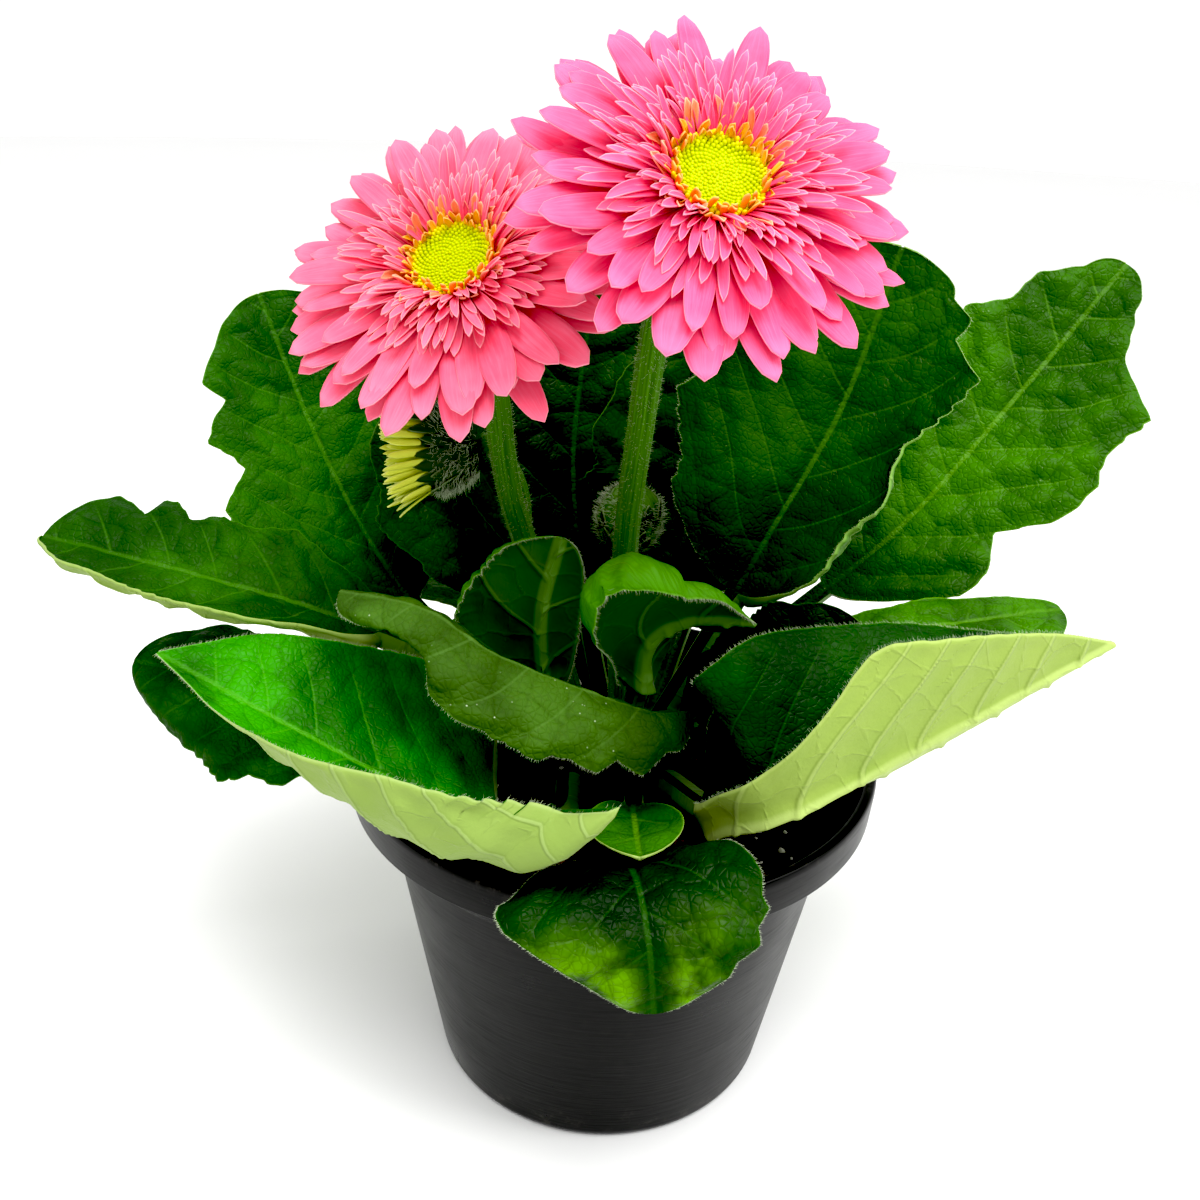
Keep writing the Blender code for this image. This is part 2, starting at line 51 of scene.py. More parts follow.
# %% Place the camera
YAW, PITCH, ROLL = np.radians([0.08, 25.37, 2.307])
CAMERA_PLACE = (-0.0053, -0.2763, 0.2685)
ahead = np.array([np.sin(YAW) * np.cos(PITCH), np.cos(YAW) * np.cos(PITCH), -np.sin(PITCH)])
level = np.cross(ahead, [0, 0, 1])
level /= np.linalg.norm(level)
upright = np.cross(level, ahead)
right = np.cos(ROLL) * level + np.sin(ROLL) * upright
up = -np.sin(ROLL) * level + np.cos(ROLL) * upright

lens = bpy.data.cameras.new("camera")
lens.lens, lens.sensor_width = 36.0, 36.0
lens.clip_start = 0.01
camera = bpy.data.objects.new("camera", lens)
bpy.context.scene.collection.objects.link(camera)
camera.matrix_world = Matrix((*zip(right, up, -ahead, CAMERA_PLACE), (0, 0, 0, 1)))
bpy.context.scene.camera = camera
print("camera at", tuple(round(v, 4) for v in camera.matrix_world.translation))

# %% [markdown]
# ## Light and floor
# A plant like this is shown on a white table in a bright tent. A nearly white world lights it from all round,
# and two soft panels shape it: one above and one at the side. The plain view transform keeps the pinks and
# greens as strong as they are, and a slightly raised black point gives the picture its deep shadows.

# %% Light the tent
def soft_panel(name, place, aim, width, power):
    """A square area light at place, turned so that it shines at aim."""
    light = bpy.data.lights.new(name, "AREA")
    light.shape, light.size, light.energy = "SQUARE", width, power
    made = bpy.data.objects.new(name, light)
    bpy.context.scene.collection.objects.link(made)
    made.location = place
    made.rotation_euler = (Vector(aim) - Vector(place)).to_track_quat("-Z", "Y").to_euler()


TENT_STRENGTH, BLACK_LEVEL = 1.1, 0.026
world = bpy.data.worlds.new("tent")
world.use_nodes = True
white = world.node_tree.nodes["Background"]
white.inputs["Color"].default_value = (1, 1, 1, 1)
white.inputs["Strength"].default_value = TENT_STRENGTH
bpy.context.scene.world = world
soft_panel("panel_above", (0.1, -0.35, 1.2), (0, 0, 0.1), 0.7, 16)
soft_panel("panel_side", (1.1, -0.3, 0.8), (0, 0, 0.12), 0.5, 6)
view = bpy.context.scene.view_settings
view.view_transform = "Standard"
view.use_curve_mapping = True
view.curve_mapping.black_level = (BLACK_LEVEL,) * 3
view.curve_mapping.update()

# %% [markdown]
# ## Meshes from rings
# Nearly everything here is a skin over rings: a stalk is a pile of round rings, and a leaf or a petal is a
# pile of flattened ones, out along its upper side and back along its lower side. One function can then make
# every mesh: quads between the rings, and a ladder of quads across each end, so no skin is ever left open.

# %% Skin over rings
def ring_quads(copies, rows, count):
    """Quads of a grid of rings: between each ring and the next, and across the first and last ring, where
    rung i joins points i, i+1 with their partners on the way back."""
    k, i, j = np.meshgrid(np.arange(copies), np.arange(rows - 1), np.arange(count), indexing="ij")
    start = (k * rows + i) * count
    following = (j + 1) % count
    sides = np.stack([start + j, start + following, start + count + following, start + count + j], -1)
    rung = np.arange(count // 2 - 1)
    ladder = np.stack([rung, count - 1 - rung, count - 2 - rung, rung + 1], -1)
    first = np.arange(copies)[:, None, None] * rows * count
    bottom = ladder[None] + first
    top = ladder[None, :, ::-1] + first + (rows - 1) * count
    return sides.reshape(-1, 4), np.concatenate([bottom.reshape(-1, 4), top.reshape(-1, 4)])


def volume_of(points, quads):
    """Signed volume inside the quads: the sum of the wedges from the origin, positive if they face out."""
    a, b, c, d = (points[quads[:, n]] for n in range(4))
    wedges = np.einsum("ij,ij->i", a, np.cross(b, c)) + np.einsum("ij,ij->i", a, np.cross(c, d))
    return wedges.sum() / 6


def skin(name, rings, values=None, slots=None):
    """A closed mesh object over rings, an array (copies, rows, count, 3) or (rows, count, 3) in millimetres.
    values holds arrays over the same grid, kept as attributes; slots gives each ring's quads a material."""
    rings = rings if rings.ndim == 4 else rings[None]
    copies, rows, count = rings.shape[:3]
    points = rings.reshape(-1, 3)
    sides, caps = ring_quads(copies, rows, count)
    quads = np.concatenate([sides, caps])
    if volume_of(points[:rows * count], quads[(quads < rows * count).all(axis=1)]) < 0:
        quads = quads[:, ::-1]
    mesh = bpy.data.meshes.new(name)
    mesh.vertices.add(len(points))
    mesh.vertices.foreach_set("co", (points * MM).astype(np.float32).ravel())
    mesh.loops.add(quads.size)
    mesh.loops.foreach_set("vertex_index", quads.astype(np.int32).ravel())
    mesh.polygons.add(len(quads))
    mesh.polygons.foreach_set("loop_start", np.arange(0, quads.size, 4, dtype=np.int32))
    if slots is not None:
        column = np.tile(np.arange(count), copies * (rows - 1))
        each = np.concatenate([np.asarray(slots)[column], np.full(len(caps), slots[-1])])
        mesh.polygons.foreach_set("material_index", each.astype(np.int32))
    mesh.update(calc_edges=True)
    mesh.shade_smooth()
    for key, value in (values or {}).items():
        value = np.asarray(value, np.float32)
        vector = value.ndim > 1 and value.shape[-1] == 3 and value.size == points.size
        kept = mesh.attributes.new(key, "FLOAT_VECTOR" if vector else "FLOAT", "POINT")
        kept.data.foreach_set("vector" if vector else "value", value.ravel())
    made = bpy.data.objects.new(name, mesh)
    bpy.context.scene.collection.objects.link(made)
    return made


def finish_piece(made, node, slot, *finishes):
    """Gives a piece its finishes and its place on the frame: it rides the pot and stands for node; slot is not
    used.
    """
    for finish in finishes:
        made.data.materials.append(finish)
    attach(made, "root")
    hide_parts(node)
    print(made.name, len(made.data.polygons), "quads, for", node)


# %% [markdown]
# ## Curves and small tools
# Stems, midribs and petals all follow smooth routes through a few points. A Catmull-Rom curve passes through
# every point it is given, so the tables below can be read as places on the plant.

# %% Routes and profiles
def unit(vectors):
    """Each vector divided by its own length."""
    return vectors / np.maximum(np.linalg.norm(vectors, axis=-1, keepdims=True), 1e-9)


def full_turn(count):
    """count turns at equal steps, all the way round."""
    return np.linspace(0, 2 * np.pi, count, endpoint=False)


def on_circle(turn):
    """Points round the upright axis at radius 1, at the given turns."""
    return np.stack([np.cos(turn), np.sin(turn), 0 * turn], -1)


def there_and_back(values, axis):
    """The values along the upper side, and the same ones on the way back along the lower side."""
    return np.concatenate([values, np.flip(values, axis)], axis)


def catmull_rom(a, b, c, d, t):
    """The cubic that runs from b to c as t goes from 0 to 1, with a before them and d after them."""
    cubic = (2 * a - 5 * b + 4 * c - d) * t**2 + (3 * b - a - 3 * c + d) * t**3
    return 0.5 * (2 * b + (c - a) * t + cubic)


def with_ends(knots):
    """The knots with one more at each end, mirrored about the last one."""
    return np.concatenate([[2 * knots[0] - knots[1]], knots, [2 * knots[-1] - knots[-2]]])


def smooth_route(points, at):
    """Catmull-Rom curve through the points, read at the fractions at of its whole length."""
    ends = with_ends(np.array(points, float))
    t = np.linspace(0, 1, 24, endpoint=False)[:, None]
    runs = catmull_rom(*(ends[n:len(ends) - 3 + n, None] for n in range(4)), t)
    fine = np.vstack([runs.reshape(-1, 3), ends[-2:-1]])
    length = np.append(0, np.cumsum(np.linalg.norm(np.diff(fine, axis=0), axis=1)))
    where = np.asarray(at) * length[-1]
    return np.stack([np.interp(where, length, fine[:, axis]) for axis in range(3)], axis=1)


def smooth_values(knots, f):
    """The same curve through numbers at equal steps, read at the fractions f."""
    ends = with_ends(np.array(knots, float))
    at = np.clip(f, 0, 0.9999) * (len(knots) - 1)
    i = at.astype(int)
    return np.maximum(catmull_rom(ends[i], ends[i + 1], ends[i + 2], ends[i + 3], at - i), 0)


def oval(f, rise=0.62, fall=0.5):
    """Width of a blade along its length: f^rise (1-f)^fall, scaled to 1 at its widest."""
    peak = rise / (rise + fall)
    return (f / peak) ** rise * ((1 - f) / (1 - peak)) ** fall


def ease(value, low, high):
    """0 below low, 1 above high, and 3x^2 - 2x^3 between."""
    x = np.clip((value - low) / (high - low), 0, 1)
    return x * x * (3 - 2 * x)


def ripple(x, y, seed, size):
    """Smooth unevenness from -1 to 1: four plane waves of about the given size, in seeded directions."""
    dice = np.random.default_rng(seed)
    total = np.zeros(np.broadcast(x, y).shape)
    for _ in range(4):
        turn, phase, grow = dice.uniform(0, 2 * np.pi), dice.uniform(0, 2 * np.pi), dice.uniform(0.7, 1.5)
        total += np.sin((x * np.cos(turn) + y * np.sin(turn)) * 2 * np.pi / (size * grow) + phase)
    return total / 2.8


# %% [markdown]
# ## Finishes
# Each finish is a small node tree. A helper class adds a node per call, so that a recipe reads as a few
# lines of arithmetic on patterns: noise, cells and the attributes that the meshes carry.

# %% A helper for node trees
class Recipe:
    """One finish being made. Each method adds a node and gives back its output."""

    def __init__(self, name, roughness=0.5, specular=0.5, **constants):
        self.finish = bpy.data.materials.new(name)
        self.finish.use_nodes = True
        self.tree = self.finish.node_tree
        self.shader = self.tree.nodes["Principled BSDF"]
        self.shader.inputs["Roughness"].default_value = roughness
        self.shader.inputs["Specular IOR Level"].default_value = specular
        for key, value in constants.items():
            self.shader.inputs[key.replace("_", " ")].default_value = value

    def add(self, kind, *inputs, out=0, **settings):
        made = self.tree.nodes.new("ShaderNode" + kind)
        for key, value in settings.items():
            setattr(made, key, value)
        for socket, value in zip(made.inputs, inputs):
            if isinstance(value, bpy.types.NodeSocket):
                self.tree.links.new(value, socket)
            elif value is not None:
                socket.default_value = value
        return made.outputs[out]

    def place(self):
        return self.add("TexCoord", out=3)

    def kept(self, name, vector=False):
        return self.add("Attribute", attribute_name=name, out="Vector" if vector else "Fac")

    def sum(self, a, b):
        return self.add("Math", a, b, operation="ADD")

    def times(self, a, b):
        return self.add("Math", a, b, operation="MULTIPLY")

    def step(self, value, low, high, start=0.0, end=1.0):
        return self.add("MapRange", value, low, high, start, end, interpolation_type="SMOOTHSTEP")

    def noise(self, vector, scale, detail=2.0, rough=0.5):
        return self.add("TexNoise", vector, None, scale, detail, rough)

    def cells(self, vector, scale, feature="DISTANCE_TO_EDGE"):
        return self.add("TexVoronoi", vector, None, scale, feature=feature)

    def mix(self, factor, a, b):
        a, b = ((*colour, 1) if isinstance(colour, tuple) else colour for colour in (a, b))
        return self.add("Mix", factor, *[None] * 5, a, b, out=2, data_type="RGBA")

    def done(self, colour, roughness=None, height=None, relief=0.3, depth=0.001):
        """Joins the patterns to the shader. A height becomes relief of the given strength and depth in m."""
        bump = None if height is None else self.add("Bump", relief, depth, None, height)
        for key, value in (("Base Color", colour), ("Roughness", roughness), ("Normal", bump)):
            if value is not None:
                self.tree.links.new(value, self.shader.inputs[key])
        print("finish", self.finish.name, len(self.tree.nodes), "nodes")
        return self.finish


# %% [markdown]
# ## Floor
# A plain pale table top. It is far larger than the plant, so its edge is only a faint line far behind.

# %% Lay the floor
def make_floor():
    """A disc of radius 3 m just under the pot's foot: two rings of 96 points."""
    ring = on_circle(full_turn(96)) * 3000
    made = skin("floor", np.stack([ring - [0, 0, 4], ring - [0, 0, 0.05]]))
    made.data.shade_flat()
    recipe = Recipe("pale table", roughness=0.7, specular=0.2)
    tone = recipe.mix(recipe.noise(recipe.place(), 3.0), (0.86, 0.86, 0.855), (0.88, 0.88, 0.875))
    made.data.materials.append(recipe.done(tone))


make_floor()

# %% [markdown]
# ## Pot
# The pot is thin black plastic, drawn down over a mould: a deep rolled lip, a neck, a small step and a plain
# cone, with drain holes in its recessed foot. It could be a Screw modifier on a bent line. Here the line is
# an array whose corners are rounded by small parabolas, and each of its points becomes a ring.

# %% Turn the pot
RIM_RADIUS, POT_HEIGHT, LIP_HEIGHT = 70.0, 98.0, 10.6
NECK_RADIUS, FOOT_RADIUS, WALL, RECESS = 61.2, 47.2, 1.3, 1.5
STEP_DROP, STEP_OUT, PAD_RADIUS = 10.0, 0.8, 12.0


def rounded(profile, radii):
    """The profile with each inner corner replaced by a parabola that starts and ends radii from it."""
    line = np.array(profile, float)
    before, corner, after = line[:-2], line[1:-1], line[2:]
    reach = np.minimum(np.array(radii, float)[:, None], 0.45 * np.minimum(
        np.linalg.norm(before - corner, axis=1), np.linalg.norm(after - corner, axis=1))[:, None])
    enter, leave = corner + unit(before - corner) * reach, corner + unit(after - corner) * reach
    t = np.linspace(0, 1, 6)[None, :, None]
    arcs = (1 - t) ** 2 * enter[:, None] + 2 * t * (1 - t) * corner[:, None] + t**2 * leave[:, None]
    return np.vstack([line[:1], arcs.reshape(-1, 2), line[-1:]])


def turned_rings(profile, count):
    """Rings of a turned piece: point (radius, height) becomes count points round the upright axis."""
    turn = full_turn(count)
    radius, height = profile[:, :1], profile[:, 1:]
    return np.stack([radius * np.cos(turn), radius * np.sin(turn), height + 0 * turn], -1)


ledge = POT_HEIGHT - LIP_HEIGHT - STEP_DROP
slope = (NECK_RADIUS - FOOT_RADIUS) / (POT_HEIGHT - LIP_HEIGHT)
neck_low = FOOT_RADIUS + slope * ledge
pot_line = rounded([
    (0.4, RECESS + WALL), (FOOT_RADIUS - WALL, RECESS + WALL), (neck_low - WALL, ledge),
    (NECK_RADIUS - WALL, POT_HEIGHT - LIP_HEIGHT + WALL), (RIM_RADIUS - 4.2, POT_HEIGHT - 2.0),
    (RIM_RADIUS - 2.6, POT_HEIGHT), (RIM_RADIUS - 0.4, POT_HEIGHT), (RIM_RADIUS, POT_HEIGHT - 1.4),
    (RIM_RADIUS - 0.6, POT_HEIGHT - LIP_HEIGHT), (RIM_RADIUS - 1.9, POT_HEIGHT - LIP_HEIGHT),
    (RIM_RADIUS - 2.4, POT_HEIGHT - LIP_HEIGHT + 1.6), (NECK_RADIUS + 1.6, POT_HEIGHT - LIP_HEIGHT + 0.4),
    (neck_low + STEP_OUT, ledge + 0.6), (neck_low, ledge - 0.4), (FOOT_RADIUS, 2.0), (FOOT_RADIUS - 1.4, 0),
    (FOOT_RADIUS - 5, 0), (FOOT_RADIUS - 6.5, RECESS), (PAD_RADIUS + 1.5, RECESS), (PAD_RADIUS, 0), (0.4, 0),
], [2, 3, 2, 2, 1.2, 0.9, 0.9, 0.5, 0.4, 0.5, 1.5, 0.5, 0.5, 1.6, 0.8, 0.8, 0.8, 0.6, 0.6])
heights = pot_line[:, 1]
print("pot profile", len(pot_line), "points, height", heights.max())


# %% [markdown]
# The plastic is black with a soft gloss. A real pot is never clean: its gloss is broken by fine scuffs, there
# are faint bands left by the mould, and dried splashes of mix grey the lip and foot.

# %% Black plastic
def black_plastic():
    recipe = Recipe("black plastic", roughness=0.33, specular=0.13)
    place = recipe.place()
    split = recipe.add("SeparateXYZ", place, out=2)
    blotch = recipe.noise(place, 34, 4, 0.6)
    scuff = recipe.noise(recipe.add("Mapping", place, None, None, (60, 60, 900)), 1.0, 3, 0.6)
    dust = recipe.times(recipe.step(recipe.noise(place, 260, 4, 0.7), 0.52, 0.72), 0.5)
    low = recipe.step(split, 0.016, 0.0, 0.0, 0.55)
    high = recipe.step(split, 0.094, 0.0985, 0.0, 0.5)
    dusty = recipe.times(dust, recipe.sum(recipe.sum(low, high), 0.04))
    base = recipe.mix(blotch, (0.0022, 0.0022, 0.002), (0.004, 0.004, 0.0038))
    colour = recipe.mix(dusty, base, (0.09, 0.08, 0.07))
    gloss = recipe.sum(recipe.step(blotch, 0.3, 0.7, 0.27, 0.37), recipe.step(scuff, 0.5, 0.8, 0.0, 0.1))
    return recipe.done(colour, gloss, recipe.sum(scuff, recipe.times(blotch, 3.0)), 0.12, 0.0004)


def drain_cutter():
    """Eight round plugs on a circle, as rings of twenty points: what the drain holes remove."""
    middle = 2 * np.pi * (np.arange(8) + 0.3) / 8
    rim = on_circle(full_turn(20)) * 4
    centre = on_circle(middle) * 30
    rings = centre[:, None, None] + rim[None, None] + np.array([-2.0, 6.0])[None, :, None, None] * [0, 0, 1]
    return skin("drain_cutter", rings)


def make_pot():
    whole = skin("pot_shell", turned_rings(pot_line, 144))
    cutter = drain_cutter()
    cut = whole.modifiers.new("drain", "BOOLEAN")
    cut.operation, cut.object, cut.solver = "DIFFERENCE", cutter, "EXACT"
    graph = bpy.context.evaluated_depsgraph_get()
    bored = bpy.data.meshes.new_from_object(whole.evaluated_get(graph))
    whole.modifiers.clear()
    whole.data = bored
    bpy.data.objects.remove(cutter)
    finish_piece(whole, "pot", "pot_plastic", black_plastic())


make_pot()

# %% [markdown]
# ## Potting mix
# The mix is a plug of peat with bark crumbs and a little white perlite. Its top is a turned plug whose
# surface rises and falls by waves of three sizes. The crumbs are far too many to model one by one, so each is
# a small rough box of ten quads, turned at random and half sunk into the surface.

# %% Fill the pot with mix
SOIL_TOP, SOIL_RADIUS, SOIL_FOOT, SOIL_LOW = 85.0, 58.4, 44.6, 3.6
TOP_RINGS = 56


def soil_height(x, y):
    """Height of the mix over x, y: three ripples of 30, 9 and 3 mm, and a rise towards the crown."""
    lumps = 0.9 * ripple(x, y, 1, 30) + 0.5 * ripple(x, y, 2, 9) + 0.25 * ripple(x, y, 3, 3)
    return SOIL_TOP + lumps + 1.5 * np.exp(-(x**2 + y**2) / 500)


def make_mix_plug():
    """Rings from the middle of the top out to the wall, down to the foot and in to the middle again."""
    out = np.linspace(0.4, SOIL_RADIUS, TOP_RINGS)
    line = np.vstack([np.stack([out, np.full(TOP_RINGS, SOIL_TOP)], 1), [[SOIL_RADIUS - 0.5, SOIL_TOP - 3]],
                      [[SOIL_FOOT, SOIL_LOW]], [[20, SOIL_LOW]], [[0.4, SOIL_LOW]]])
    rings = turned_rings(line, 144)
    rings[:TOP_RINGS, :, 2] = soil_height(rings[:TOP_RINGS, :, 0], rings[:TOP_RINGS, :, 1])
    return skin("mix_plug", rings)


def chunks(name, count, smallest, largest, seed, sink, flat=0.6):
    """Rough little boxes of three rings of four points, each stretched, turned and scattered over the mix."""
    dice = np.random.default_rng(seed)
    size = smallest + (largest - smallest) * dice.random(count) ** 2.5
    far = SOIL_RADIUS * 0.985 * np.sqrt(dice.uniform(0.02, 1, count))
    spin = dice.uniform(0, 2 * np.pi, count)
    x, y = far * np.cos(spin), far * np.sin(spin)
    ring = on_circle(full_turn(4) + 0.4)
    tall = np.array([-0.8, 0.0, 0.75])[:, None, None] * [0, 0, 1]
    wide = np.array([0.6, 1.0, 0.55])[:, None, None]
    body = (ring * wide + tall)[None] * (1 + dice.uniform(-0.3, 0.3, (count, 3, 4, 1)))
    stretch = dice.uniform([0.7, 0.4, flat * 0.7], [1.5, 1.0, flat * 1.4], (count, 1, 1, 3))
    body = body * size[:, None, None, None] * stretch
    lean, roll = dice.uniform(-0.6, 0.6, count), dice.uniform(0, 2 * np.pi, count)
    c, s, cl, sl = np.cos(roll), np.sin(roll), np.cos(lean), np.sin(lean)
    turned = np.stack([np.stack([c, -s * cl, s * sl], -1), np.stack([s, c * cl, -c * sl], -1),
                       np.stack([0 * c, sl, cl], -1)], 1)
    body = np.einsum("kab,krnb->krna", turned, body)
    centre = np.stack([x, y, soil_height(x, y) + size * sink], -1)
    tone = np.broadcast_to(dice.random(count)[:, None, None], (count, 3, 4))
    made = skin(name, body + centre[:, None, None], {"tone": tone})
    made.data.shade_flat()
    return made


def mix_finish(name, dark, pale):
    recipe = Recipe(name, roughness=0.9, specular=0.25)
    place = recipe.place()
    tone = recipe.kept("tone")
    grain = recipe.noise(place, 900, 4, 0.7)
    colour = recipe.mix(recipe.times(recipe.sum(tone, grain), 0.5), dark, pale)
    return recipe.done(colour, None, grain, 0.8, 0.0006)


for made, finish, dark, pale in (
        (make_mix_plug(), "peat", (0.006, 0.004, 0.003), (0.05, 0.03, 0.016)),
        (chunks("bark_crumbs", 2600, 0.35, 1.7, 11, 0.25), "bark", (0.008, 0.005, 0.003), (0.10, 0.055, 0.028)),
        (chunks("perlite_grains", 110, 0.5, 1.2, 12, 0.35, 0.9), "perlite", (0.55, 0.54, 0.5), (0.85, 0.84, 0.8))):
    finish_piece(made, "root_ball", "potting_mix", mix_finish(finish, dark, pale))

# %% [markdown]
# ## Leaves
# A gerbera leaf is a broad lobed blade on a channelled stalk. Its blade runs along a midrib that may droop or
# arch, its two halves fold up or down on their own, its margin is toothed, and between its veins the blade is
# pillowed. Sculpting twenty of them would be slow and hard to change. So one function makes them all: a row
# of the table gives the midrib's route, the widths, the way the upper side faces, and for each half the angle
# at which it leaves the midrib and how much further it bends by its margin.

